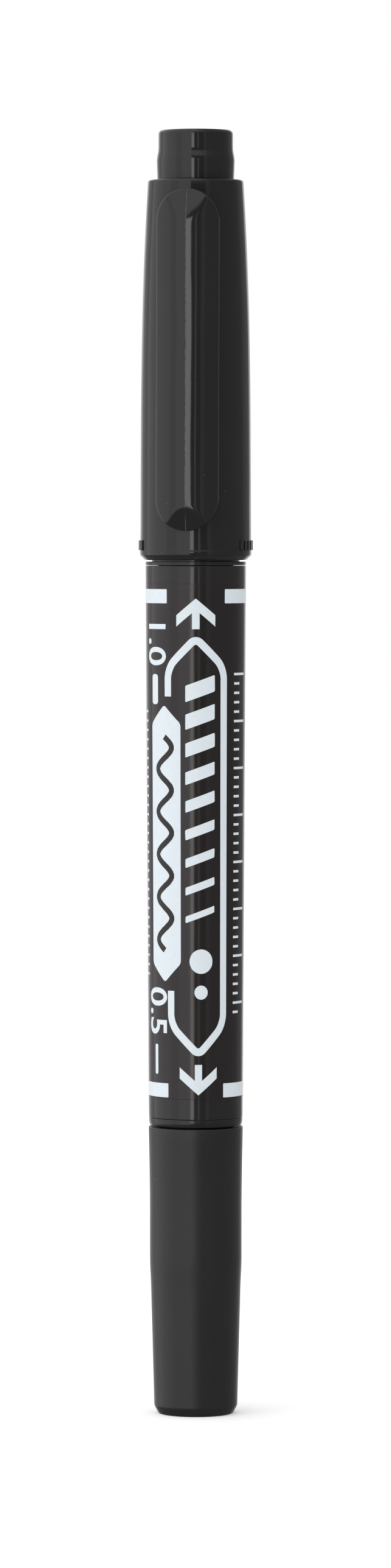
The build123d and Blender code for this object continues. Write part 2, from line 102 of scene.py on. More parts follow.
class MarkerCapSizes(bpy.types.PropertyGroup):
    """The two caps and the tail plug."""

    big_bore: length("Radius of the big cap's bore at its mouth", 4.925)
    big_inner_bore: length("Radius of the bore that holds the inner cap", 4.425)
    lip: length("Radius of the big cap's lip", 5.925)
    lip_bead: length("How far the lip's ring stands out", 0.045)
    lip_height: length("Height of the lip's ring over the mouth", 0.9)
    mouth_chamfer: length("Chamfer at the big cap's mouth", 0.5)
    body: length("Radius of the big cap at its middle", 5.805)
    body_drop: length("From the big cap's top to its middle", 19.8)
    shoulder: length("Radius of the big cap over the clip's middle", 5.575)
    shoulder_drop: length("From the big cap's top to its shoulder", 10.0)
    top: length("Radius of the big cap's top edge", 5.09)
    top_round: length("Rounding of the big cap's top edge", 0.25)
    plug_bore: length("Radius of the hole for the tail plug", 3.76)
    grip_width: length("Width of a raised grip pip", 0.42)
    grip_height: length("Height of a raised grip pip", 1.05)
    grip_proud: length("How far a grip pip stands out", 0.17)
    grip_rise: length("From the mouth to the grip pips", 1.05)
    small_bore: length("Radius of the small cap's bore at its mouth", 4.205)
    small_inner_bore: length("Radius of its deeper bore", 3.605)
    waist: length("Radius of the small cap's straight waist", 4.915)
    knee: length("Radius where the small cap's end taper starts", 4.795)
    end: length("Radius of the small cap's end", 4.455)
    end_chamfer: length("Height of the small cap's end chamfer", 0.85)
    end_inset: length("Width of the small cap's end chamfer", 0.46)
    inner_wall: length("Wall of both inner caps", 0.65)
    plug_foot: length("Radius of the tail plug's foot", 4.09)
    plug_bead_rise: length("From the plug's foot to its bead", 2.2)
    plug_dish: length("Depth of the dish in the plug's top", 0.12)


class MarkerClipSizes(bpy.types.PropertyGroup):
    """The pocket clip."""

    crown_low: length("From the axis to the clip's face at its free end", 7.525)
    crown_high: length("From the axis to the clip's face at its root", 6.675)
    gap: length("Between the clip and the cap", 0.5)
    top_facet: length("Length of the root's sloping facet", 2.6)
    top_fall: length("How deep the root's facet is cut", 0.7)
    end_facet: length("Length of the free end's facet", 2.6)
    end_fall: length("How deep the free end's facet is cut", 0.72)
    edge: length("Rounding of the clip's outline", 0.16)
    crease: length("Width of the crease along the parting line", 0.06)
    nub: length("Radius of the nub that grips the pocket", 0.5)
    nub_rise: length("From the free end to the nub", 2.6)
    knuckle: length("Radius of the clip's root", 0.5)
    knuckle_width: length("Width of the clip's root", 2.4)
    stalk: length("Thickness of the web behind the clip", 0.7)
    room: length("Gap around the root in the cap's pocket", 0.12)


class MarkerPrintSizes(bpy.types.PropertyGroup):
    """The white print on the film."""

    ink: length("Thickness of the printed ink", 0.012)
    rule: length("Width of the frame's rules", 0.82)
    frame_half: length("From the middle to the side rules", 3.22)
    numeral: length("Height of the line-width numerals", 4.15)


class MarkerFinishes(bpy.types.PropertyGroup):
    """Colours of the marker's finishes."""

    gloss: colour("Polished black plastic", (0.0112, 0.0108, 0.0112))
    satin: colour("Satin black plastic", (0.0125, 0.0125, 0.0132))
    film: colour("Printed film's ground", (0.0118, 0.0098, 0.0094))
    ink: colour("White print", (0.66, 0.725, 0.765))
    natural: colour("Cartridge and inner caps", (0.78, 0.78, 0.74))
    fibre: colour("Ink-soaked wadding", (0.012, 0.012, 0.016))


# ---- shader building -------------------------------------------------------------------------
class Signal:
    """An output of a shader tree, whose arithmetic adds the Math nodes that work it out."""

    def __init__(self, bench, socket):
        self.bench = bench
        self.socket = socket

    def math(self, operation, *values):
        return self.bench.node(
            "ShaderNodeMath", {"operation": operation}, dict(enumerate(values))
        )

    def __add__(self, other):
        return self.math("ADD", self, other)

    def __sub__(self, other):
        return self.math("SUBTRACT", self, other)

    def __rsub__(self, other):
        return self.math("SUBTRACT", other, self)

    def __mul__(self, other):
        return self.math("MULTIPLY", self, other)

    __radd__ = __add__
    __rmul__ = __mul__


class Bench:
    """A shader tree to which nodes are added and joined."""

    def __init__(self, tree):
        self.tree = tree
        tree.nodes.clear()

    def node(self, kind, settings=None, inputs=None, output=0):
        """Adds a node, sets it, feeds its sockets and gives one of its outputs."""
        made = self.tree.nodes.new(kind)
        for name, value in (settings or {}).items():
            setattr(made, name, value)
        for name, value in (inputs or {}).items():
            if isinstance(value, Signal):
                self.tree.links.new(value.socket, made.inputs[name])
            else:
                made.inputs[name].default_value = value
        return Signal(self, made.outputs[output]) if made.outputs else made

    def place(self, scale=(1.0, 1.0, 1.0)):
        """Object coordinates in millimetres, stretched by a scale on each axis."""
        spot = self.node("ShaderNodeTexCoord", output="Object")
        sizes = tuple(part / MM for part in scale)
        return self.node("ShaderNodeMapping", {}, {"Vector": spot, "Scale": sizes})

    def noise(self, scale, detail=3.0, stretch=(1.0, 1.0, 1.0), roughness=0.55):
        """Noise with this many waves to a millimetre, about 0 to 1."""
        inputs = {
            "Vector": self.place(stretch), "Scale": scale, "Detail": detail, "Roughness": roughness,
        }
        return self.node("ShaderNodeTexNoise", {}, inputs, "Fac")

    def specks(self, scale, size, stretch=(1.0, 1.0, 1.0)):
        """1 inside scattered specks, 0 elsewhere: cells to a millimetre, and a speck's radius."""
        inputs = {"Vector": self.place(stretch), "Scale": scale, "Randomness": 1.0}
        near = self.node("ShaderNodeTexVoronoi", {"feature": "F1"}, inputs, "Distance")
        return self.band(near, size, size * 0.6)

    def band(self, value, start, end, low=0.0, high=1.0):
        """A smooth step of a value from low at start to high at end."""
        inputs = {"Value": value, "From Min": start, "From Max": end, "To Min": low, "To Max": high}
        return self.node("ShaderNodeMapRange", {"interpolation_type": "SMOOTHSTEP"}, inputs)

    def blend(self, factor, first, second, mode="MIX"):
        """Two colours mixed."""
        settings = {"data_type": "RGBA", "blend_type": mode}
        first, second = (
            (*part, 1.0) if isinstance(part, tuple) else part for part in (first, second)
        )
        inputs = {0: factor, 6: first, 7: second}
        return self.node("ShaderNodeMix", settings, inputs, 2)

    def bump(self, height, strength, depth, over=None):
        """Surface relief from a height of 0 to 1, this many millimetres deep, over other relief."""
        inputs = {"Height": height, "Strength": strength, "Distance": depth * MM}
        if over:
            inputs["Normal"] = over
        return self.node("ShaderNodeBump", {}, inputs)

    def mottle(self, factor, base, dark, light):
        """A colour that varies between a darker and a lighter shade of itself."""
        return self.blend(factor, shade(base, dark), shade(base, light))

    def surface(self, tone, roughness, normal, ior=1.5, more=None):
        """A Principled shader on the tree's output."""
        inputs = {"Base Color": tone, "Roughness": roughness, "IOR": ior, **(more or {})}
        if normal:
            inputs["Normal"] = normal
        shader = self.node("ShaderNodeBsdfPrincipled", {}, inputs)
        self.node("ShaderNodeOutputMaterial", {}, {"Surface": shader})


def shade(value, factor):
    """A colour made lighter or darker."""
    return tuple(min(1.0, part * factor) for part in value)


def gloss_black(bench, base, polish, seam=0.0, side=0.0):
    """Polished black plastic: faint flow in its gloss, handling scuffs and a little dust.

    A piece may have a broken, rougher parting line of this half width in millimetres down its
    middle, painted lighter as a painted glint, and rougher walls past a distance to each side,
    painted lighter as a painted highlight."""
    flow = bench.noise(0.16, 4.0, (1.0, 1.0, 0.35))
    scuff = bench.band(bench.noise(1.5, 5.0, (1.0, 1.0, 0.12), 0.7), 0.60, 0.78)
    rub = bench.band(bench.noise(0.35, 2.0), 0.45, 0.72)
    dust = bench.specks(0.62, 0.035)
    tone = bench.mottle(flow, base, 0.86, 1.16)
    tone = bench.blend(dust * 0.5, tone, (0.20, 0.20, 0.20))
    rough = polish + scuff * rub * 0.09 + flow * 0.03 + dust * 0.4
    if seam:
        across = bench.node("ShaderNodeSeparateXYZ", {}, {0: bench.place()}, "X")
        across = across.math("ABSOLUTE", across)
        # Painted glint: the rougher parting line is also painted lighter than the plastic.
        line = bench.band(across, seam, seam * 0.5)
        line = line * bench.band(bench.noise(1.7, 3.0, (0.1, 0.1, 1.0)), 0.40, 0.56)
        # Painted highlight: the clip's walls are painted lighter, as well as made rougher.
        wall = bench.band(across, side, side + 0.015)
        tone = bench.blend(line, tone, (0.085, 0.082, 0.08))
        tone = bench.blend(wall, tone, (0.04, 0.04, 0.041))
        rough = rough + line * 0.3 + wall * 0.3
    peel = bench.noise(0.55, 2.0)
    sink = bench.noise(0.13, 1.0)
    wavy = bench.bump(sink, 1.0, 0.12)
    relief = bench.bump(peel * 0.75 + scuff * rub * 0.05, 0.55, 0.006, wavy)
    bench.surface(tone, rough, relief)


def satin_black(bench, base):
    """Satin black plastic: spark-eroded grain, pale nicks and rubbed patches."""
    grain = bench.noise(9.0, 3.0)
    cloud = bench.noise(0.22, 4.0)
    nick = bench.specks(0.42, 0.04) + bench.specks(0.9, 0.02, (1.0, 1.0, 0.5))
    streak = bench.band(bench.noise(2.2, 4.0, (1.0, 1.0, 0.1), 0.7), 0.66, 0.80)
    tone = bench.mottle(cloud, base, 0.84, 1.2)
    tone = bench.blend(streak * 0.25, tone, shade(base, 2.2))
    tone = bench.blend(nick * 0.45, tone, (0.24, 0.24, 0.25))
    rough = 0.30 + cloud * 0.08 + grain * 0.05 - streak * 0.06
    bench.surface(tone, rough, bench.bump(grain, 0.35, 0.006))


def printed_film(bench, base):
    """Shrunk plastic film over black print, warmer than the bare plastic."""
    cloud = bench.noise(0.3, 4.0)
    screen = bench.noise(7.0, 2.0)
    pull = bench.noise(0.9, 3.0, (1.0, 1.0, 0.08))
    tone = bench.mottle(cloud, base, 0.86, 1.16)
    tone = bench.blend(screen * 0.3, tone, shade(base, 1.5))
    rough = 0.11 + cloud * 0.05 + screen * 0.02
    bench.surface(tone, rough, bench.bump(pull, 0.5, 0.008))


def white_ink(bench, base):
    """Screen-printed white: slightly uneven cover, with pinholes."""
    cover = bench.noise(2.4, 5.0)
    pinhole = bench.specks(2.6, 0.05)
    tone = bench.mottle(cover, base, 0.93, 1.05)
    tone = bench.blend(pinhole * 0.5, tone, shade(base, 0.35))
    bench.surface(tone, 0.32 + cover * 0.12, bench.bump(cover, 0.4, 0.004), 1.48)


def natural_plastic(bench, base, cover):
    """Unpigmented moulded plastic: milky, with flow marks and a soft skin."""
    cloud = bench.noise(0.25, 4.0)
    skin = bench.noise(3.5, 4.0)
    flow = bench.noise(1.2, 3.0, (1.0, 1.0, 0.15))
    tone = bench.mottle(cloud, base, 0.9, 1.06)
    tone = bench.blend(flow * 0.25, tone, shade(base, 0.8))
    relief = bench.bump(skin * 0.6 + flow * 0.4, 0.4, 0.01)
    bench.surface(tone, 0.36 + skin * 0.12, relief, 1.49, {
        "Alpha": cover,
        "Subsurface Weight": 0.25,
        "Subsurface Radius": (1.2 * MM, 1.2 * MM, 1.0 * MM),
        "Subsurface Scale": 1.0,
    })


def clear_wrap(bench):
    """The thin clear film round the wadding, with a few lengthwise creases."""
    crease = bench.band(bench.noise(1.1, 3.0, (1.0, 1.0, 0.05)), 0.5, 0.62)
    haze = bench.noise(0.8, 3.0)
    tone = bench.blend(haze, (0.42, 0.43, 0.45), (0.62, 0.63, 0.66))
    cover = bench.band(crease, 0.0, 1.0, 0.16, 0.34)
    relief = bench.bump(crease, 0.6, 0.02)
    bench.surface(tone, 0.12 + haze * 0.12, relief, more={"Alpha": cover})


def fibre(bench, base, fineness, shine):
    """Bundled fibres that run lengthwise, wet with ink."""
    strand = bench.noise(fineness, 4.0, (1.0, 1.0, 0.06), 0.7)
    clump = bench.noise(0.9, 3.0, (1.0, 1.0, 0.2))
    end = bench.noise(fineness * 1.4, 2.0)
    tone = bench.mottle(strand, base, 0.45, 2.6)
    tone = bench.blend(clump * 0.5, tone, shade(base, 0.7))
    relief = bench.bump(strand * 0.7 + end * 0.3, 0.9, 0.05)
    bench.surface(tone, shine + strand * 0.2, relief, 1.45)


def drawn_steel(bench):
    """The nib's drawn sleeve: bright, with fine lines round it."""
    ring = bench.noise(1.6, 4.0, (0.05, 0.05, 6.0), 0.65)
    cloud = bench.noise(0.8, 3.0)
    tone = bench.blend(ring, (0.50, 0.50, 0.49), (0.72, 0.72, 0.71))
    rough = 0.2 + ring * 0.14 + cloud * 0.05
    bench.surface(tone, rough, bench.bump(ring, 0.35, 0.004), more={"Metallic": 1.0})


def seal_rubber(bench):
    """Matt black rubber with a fine bloom."""
    bloom = bench.noise(1.3, 4.0)
    skin = bench.noise(11.0, 3.0)
    tone = bench.blend(bloom, (0.012, 0.012, 0.013), (0.035, 0.035, 0.036))
    bench.surface(tone, 0.55 + skin * 0.2, bench.bump(skin, 0.5, 0.01), 1.52)


def floor_paint(bench):
    """The studio's pale, matt floor, lit a little from below."""
    cloud = bench.noise(0.002, 2.0)
    tone = bench.blend(cloud, (0.885, 0.885, 0.885), (0.9, 0.9, 0.9))
    bench.surface(tone, 0.9, None, more={
        "Specular IOR Level": 0.0,
        "Emission Color": (1.0, 1.0, 1.0, 1.0),
        "Emission Strength": 0.24,
    })


# How each finish is made: its maker, the user's colour and how much lighter that is made, and
# the maker's other settings.
FINISHES = {
    "gloss_black": (gloss_black, "gloss", 1.0, 0.07),
    "barrel_black": (gloss_black, "gloss", 1.12, 0.10),
    # The clip's finish has a painted glint down its parting line and a painted highlight on its
    # walls.
    "clip_black": (gloss_black, "gloss", 1.0, 0.07, 0.032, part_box("clip")[1].x / MM - 0.03),
    "tip_black": (gloss_black, "gloss", 1.0, 0.16),
    "mark_ink": (gloss_black, "film", 1.1, 0.26),
    "satin_black": (satin_black, "satin", 1.0),
    "film_print": (printed_film, "film", 1.0),
    "white_ink": (white_ink, "ink", 1.0),
    "tube_plastic": (natural_plastic, "natural", 1.0, 0.6),
    "plug_plastic": (natural_plastic, "natural", 1.0, 1.0),
    "inner_plastic": (natural_plastic, "natural", 1.06, 1.0),
    "wadding_fibre": (fibre, "fibre", 1.0, 5.0, 0.5),
    "felt": (fibre, "fibre", 1.25, 8.0, 0.45),
    "nib_resin": (fibre, "fibre", 1.6, 3.0, 0.25),
    "creased_wrap": (clear_wrap,),
    "drawn_steel": (drawn_steel,),
    "ring_rubber": (seal_rubber,),
    "floor_paint": (floor_paint,),
}


def finish_named(name):
    """The material of that name, made when it is first asked for."""
    if name not in bpy.data.materials:
        maker, *settings = FINISHES[name]
        if settings:
            source, factor, *settings = settings
            base = getattr(bpy.context.scene.marker_finishes, source)
            settings.insert(0, shade(base, factor))
        material = bpy.data.materials.new(name)
        material.use_nodes = True
        maker(Bench(material.node_tree), *settings)
    return bpy.data.materials[name]


# ---- shaping by hand -------------------------------------------------------------------------
def start_clean():
    """Object mode, with nothing selected."""
    if bpy.context.mode != "OBJECT":
        bpy.ops.object.mode_set(mode="OBJECT")
    bpy.ops.object.select_all(action="DESELECT")


def pick(piece, kind, test):
    """In edit mode, selects the piece's vertices, edges or faces that pass a test."""
    bpy.ops.object.mode_set(mode="EDIT")
    bpy.ops.mesh.select_mode(type=kind)
    bpy.ops.mesh.select_all(action="DESELECT")
    bpy.ops.object.mode_set(mode="OBJECT")
    mesh = piece.data
    parts = {"VERT": mesh.vertices, "EDGE": mesh.edges, "FACE": mesh.polygons}[kind]
    found = 0
    for part in parts:
        part.select = bool(test(part))
        found += part.select
    bpy.ops.object.mode_set(mode="EDIT")
    return found


def merge_close():
    """In edit mode, merges vertices that touch."""
    bpy.ops.mesh.select_all(action="SELECT")
    bpy.ops.mesh.remove_doubles(threshold=MERGE)


def draw_out(step):
    """In edit mode, extrudes the whole mesh by a step."""
    bpy.ops.mesh.select_all(action="SELECT")
    bpy.ops.mesh.extrude_region_move(TRANSFORM_OT_translate={"value": step})


def face_out():
    """In edit mode, turns all faces outwards."""
    bpy.ops.mesh.select_all(action="SELECT")
    bpy.ops.mesh.normals_make_consistent(inside=False)


def latest(name):
    """The object just added, with its name."""
    bpy.context.object.name = name
    return bpy.context.object


def take(piece):
    """Makes a piece the only one selected, and the active one."""
    start_clean()
    piece.select_set(True)
    bpy.context.view_layer.objects.active = piece


def settle(piece):
    """Puts the piece's place, turn and size in its mesh."""
    take(piece)
    bpy.ops.object.transform_apply(location=True, rotation=True, scale=True)


def modify(piece, kind, **settings):
    """Adds a modifier and applies it."""
    take(piece)
    modifier = piece.modifiers.new(kind.title(), kind)
    for name, value in settings.items():
        setattr(modifier, name, value)
    bpy.ops.object.modifier_apply(modifier=modifier.name)


def cut(piece, operation, tool):
    """Joins a closed tool to the piece, or cuts the piece with it, and removes the tool."""
    modify(piece, "BOOLEAN", operation=operation, solver="EXACT", object=tool)
    bpy.data.objects.remove(tool)


def joined(name, pieces):
    """Several pieces made one."""
    start_clean()
    for piece in pieces:
        piece.select_set(True)
    bpy.context.view_layer.objects.active = pieces[0]
    if len(pieces) > 1:
        bpy.ops.object.join()
    pieces[0].name = name
    return pieces[0]


def chain(name, points):
    """One vertex drawn out through (x, y, z) points in metres; edit mode is left on."""
    start_clean()
    bpy.ops.mesh.primitive_plane_add(size=MM, location=points[0])
    piece = latest(name)
    bpy.ops.object.mode_set(mode="EDIT")
    bpy.ops.mesh.select_mode(type="VERT")
    bpy.ops.mesh.select_all(action="SELECT")
    bpy.ops.mesh.merge(type="CENTER")
    for here, there in zip(points, points[1:]):
        step = tuple(b - a for a, b in zip(here, there))
        bpy.ops.mesh.extrude_vertices_move(TRANSFORM_OT_translate={"value": step})
    return piece


def round_corners(piece, corners, segments=4):
    """Rounds a chain's corners: (x, y, z, how far back the round starts), in metres."""
    offset = piece.location
    for size in sorted({corner[3] for corner in corners if corner[3] > 0}):
        spots = [Vector(corner[:3]) - offset for corner in corners if corner[3] == size]
        pick(piece, "VERT", lambda v: any((v.co - spot).length < SMALL for spot in spots))
        bpy.ops.mesh.bevel(offset=size, segments=segments, affect="VERTICES")


def turned(name, outline, steps=TURN_STEPS, segments=4):
    """A closed piece turned about the axis from (radius, height, round) corners in metres.

    The outline closes on itself, or ends on the axis at both ends."""
    corners = [(c[0], 0.0, c[1], c[2] if len(c) > 2 else 0.0) for c in outline]
    closed = corners[0][0] > SMALL
    points = [corner[:3] for corner in corners]
    piece = chain(name, points + points[:1] if closed else points)
    merge_close()
    round_corners(piece, corners, segments)
    bpy.ops.mesh.select_all(action="SELECT")
    bpy.ops.mesh.spin(steps=steps, angle=tau, center=(0, 0, 0), axis=(0, 0, 1))
    merge_close()
    face_out()
    settle(piece)
    return piece


def bow(radius, middle, bead, span, up=True, count=8):
    """A snap bead's crowned outline on a seat of this radius, from one end to the other."""
    shares = [-1 + 2 * i / count for i in range(count + 1)]
    points = [(radius + bead * (1 - s * s), middle + s * span / 2) for s in shares]
    return points if up else points[::-1]


def ease(start, end, slope_in, slope_out, count=8):
    """A smooth outline between two (radius, height) points with a slope at each end."""
    (r0, z0), (r1, z1) = start, end
    rise = z1 - z0
    points = []
    for i in range(count + 1):
        t = i / count
        radius = (
            (2 * t**3 - 3 * t**2 + 1) * r0 + (t**3 - 2 * t**2 + t) * slope_in * rise
            + (3 * t**2 - 2 * t**3) * r1 + (t**3 - t**2) * slope_out * rise
        )
        points.append((radius, z0 + t * rise))
    return points


def radius_at(stations, height):
    """The radius at a height of the smooth curve through (radius, height) stations."""
    total = 0.0
    for radius, level in stations:
        for _, other in stations:
            if other != level:
                radius *= (height - other) / (level - other)
        total += radius
    return total


def span(node):
    """A CAD node's lowest and highest height, and its radius."""
    low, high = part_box(node)
    return low.z, high.z, high.x


def complete(piece, body, slot, finish, *nodes):
    """Smooths a piece, gives it its finish and puts it on its body in place of CAD nodes."""
    take(piece)
    bpy.ops.object.shade_smooth_by_angle(angle=SMOOTH_UP_TO)
    modify(piece, "WEIGHTED_NORMAL", keep_sharp=True, mode="FACE_AREA")
    piece.data.materials.clear()
    piece.data.materials.append(finish_named(finish))
    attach(piece, body)
    if nodes:
        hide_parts(*nodes)
    return piece


# ---- barrel, film and fine section -----------------------------------------------------------
CAP_GAP = 0.18 * MM  # a closed cap's mouth to the shoulder that it faces
BARREL_BORE = 4.1 * MM
INNER_GAP = 0.2 * MM  # between inner pieces that face each other
SPIGOT_GAP = 0.02 * MM  # round a pressed-in spigot
FRONT_TURN = radians(9)  # the print's middle, round from the clip towards +X


def barrel_radius(height):
    """The barrel's outer radius at a height: a straight taper."""
    size = bpy.context.scene.marker_barrel
    low, high, _ = span("barrel")
    share = (height - low) / (high - low)
    return BARREL_BORE + size.low_wall + share * (size.top_wall - size.low_wall)


class MARKER_OT_barrel(bpy.types.Operator):
    """Turns the barrel, and the printed film shrunk into the shallow band round it"""

    bl_idname = "marker.barrel"
    bl_label = "Barrel and Film"

    def execute(self, context):
        size = context.scene.marker_barrel
        low, high, _ = span("barrel")
        film_low, film_high, _ = span("label_film")
        low_r, high_r = barrel_radius(film_low), barrel_radius(film_high)
        barrel = turned("barrel_tube", [
            (BARREL_BORE, low, size.edge),
            (barrel_radius(low), low, size.edge),
            (low_r, film_low),
            (low_r - size.film, film_low),
            (high_r - size.film, film_high),
            (high_r, film_high),
            (barrel_radius(high), high, size.edge),
            (BARREL_BORE, high, size.edge),
        ])
        complete(barrel, "barrel", "black_plastic", "barrel_black", "barrel")

        lip = size.film / 4
        film = turned("film_sleeve", [
            (low_r - size.film, film_low),
            (low_r, film_low, lip),
            (high_r, film_high, lip),
            (high_r - size.film, film_high),
        ])
        reach = size.film_lap_width / 2

        def on_lap(face):
            spot = face.center
            outside = face.normal.y > 0.9 and abs(face.normal.z) < 0.1
            return outside and -reach < spot.x < reach and spot.y > high_r / 2

        pick(film, "FACE", on_lap)
        bpy.ops.mesh.extrude_region_shrink_fatten(
            TRANSFORM_OT_shrink_fatten={"value": size.film_lap}
        )
        complete(film, "barrel", "printed_film", "film_print", "label_film")
        return {"FINISHED"}


class MARKER_OT_fine_section(bpy.types.Operator):
    """Turns the fixed fine section: collar, the small cap's seat with its bead, nose and tip"""

    bl_idname = "marker.fine_section"
    bl_label = "Fine Section"

    def execute(self, context):
        size = context.scene.marker_barrel
        tip_z, spigot_z, collar_r = span("fine_section")
        barrel_z = span("barrel")[0]
        collar_z = span("small_cap")[1] + CAP_GAP
        seat_low = collar_z - size.seat_length
        nose_z = seat_low - size.nose_length
        inner_z = span("fine_end_plug")[0] + 7.6 * MM
        spigot_r = BARREL_BORE - SPIGOT_GAP
        soft = 0.08 * MM
        section = turned("fine_tip_section", [
            (collar_r, barrel_z, soft),
            (spigot_r, barrel_z),
            (spigot_r, spigot_z, soft),
            (size.bore, spigot_z, soft),
            (size.bore, inner_z, soft),
            (size.tip_bore, inner_z, soft),
            (size.tip_bore, tip_z, soft),
            (size.tip, tip_z, soft * 2),
            (size.nose, nose_z, soft * 6),
            (size.nose, seat_low, soft * 2),
            (size.seat - size.nose_length / 10, seat_low, soft),
            (size.seat, seat_low + size.nose_length / 10, soft * 2),
            *bow(size.seat, collar_z - size.bead_drop, size.seat_bead, size.seat_bead_length),
            (size.seat, collar_z, soft / 2),
            (collar_r - size.collar_round / 4, collar_z, size.collar_round / 5),
            (collar_r, collar_z + size.collar_round, size.collar_round / 2),
        ])
        complete(section, "barrel", "black_plastic", "tip_black", "fine_section")
        return {"FINISHED"}


# ---- the print on the film -------------------------------------------------------------------
def facing_front(piece):
    """Turns the piece's flat faces towards -Y."""
    pick(piece, "FACE", lambda face: face.normal.y > 0)
    bpy.ops.mesh.flip_normals()
    bpy.ops.object.mode_set(mode="OBJECT")
    return piece


def patch(outline, rounding=0.0):
    """A flat printed shape from (across, height) corners in metres."""
    points = [(across, 0.0, height) for across, height in outline]
    piece = chain("patch", points + points[:1])
    merge_close()
    if rounding:
        round_corners(piece, [(*point, rounding) for point in points])
        bpy.ops.mesh.select_all(action="SELECT")
    bpy.ops.mesh.edge_face_add()
    bpy.ops.mesh.quads_convert_to_tris()
    settle(piece)
    return facing_front(piece)


def block(left, right, low, high, rounding=0.0):
    """A flat printed rectangle."""
    return patch([(left, low), (right, low), (right, high), (left, high)], rounding)


def stroke(points, width):
    """A flat printed line of even width through (across, height, round) points in metres."""
    corners = [(point[0], 0.0, point[1], point[2] if len(point) > 2 else 0.0) for point in points]
    piece = chain("stroke", [corner[:3] for corner in corners])
    round_corners(piece, corners, 6)
    draw_out((0, MM, 0))
    face_out()
    settle(piece)
    modify(piece, "SOLIDIFY", thickness=width, offset=0.0, use_even_offset=True)
    pick(piece, "FACE", lambda face: face.normal.y > -0.9)
    bpy.ops.mesh.delete(type="FACE")
    return facing_front(piece)


def disc(across, height, radius):
    """A flat printed dot."""
    start_clean()
    bpy.ops.mesh.primitive_circle_add(
        vertices=40, radius=radius, fill_type="NGON", location=(across, 0, height),
        rotation=(pi / 2, 0, 0),
    )
    piece = bpy.context.object
    settle(piece)
    return facing_front(piece)


def numeral(text, across, top, size):
    """A numeral that reads down the barrel, starting at a height."""
    start_clean()
    reading_down = Matrix(((0, 1, 0), (0, 0, -1), (-1, 0, 0)))
    bpy.ops.object.text_add(location=(across, 0, top), rotation=reading_down.to_euler())
    piece = bpy.context.object
    piece.data.body = text
    piece.data.size = size
    piece.data.offset = size * 0.016
    piece.data.space_character = 1.04
    piece.data.align_y = "CENTER"
    bpy.ops.object.convert(target="MESH")
    piece = bpy.context.object
    settle(piece)
    return facing_front(piece)


def wrapped(name, shapes, ink, lift):
    """Flat shapes joined, sliced, bent round the barrel and laid on the film."""
    piece = joined(name, shapes)
    settle(piece)
    radius = barrel_radius(span("label_film")[1]) + 0.05 * MM
    half = max(abs(vertex.co.x) for vertex in piece.data.vertices)
    slices = 40
    bpy.ops.object.mode_set(mode="EDIT")
    for i in range(-slices, slices + 1):
        bpy.ops.mesh.select_all(action="SELECT")
        bpy.ops.mesh.bisect(
            plane_co=(half * i / slices, 0, 0), plane_no=(1, 0, 0), threshold=MERGE
        )
    merge_close()
    bpy.ops.object.mode_set(mode="OBJECT")
    width = piece.dimensions.x
    modify(piece, "SIMPLE_DEFORM", deform_method="BEND", deform_axis="Z", angle=width / radius)
    piece.location.y = -radius
    settle(piece)
    film = bpy.data.objects["film_sleeve"]
    modify(
        piece, "SHRINKWRAP", target=film, wrap_method="NEAREST_SURFACEPOINT",
        wrap_mode="ABOVE_SURFACE", offset=lift,
    )
    piece.rotation_euler.z = FRONT_TURN
    settle(piece)
    modify(piece, "SOLIDIFY", thickness=ink, offset=1.0)
    return piece


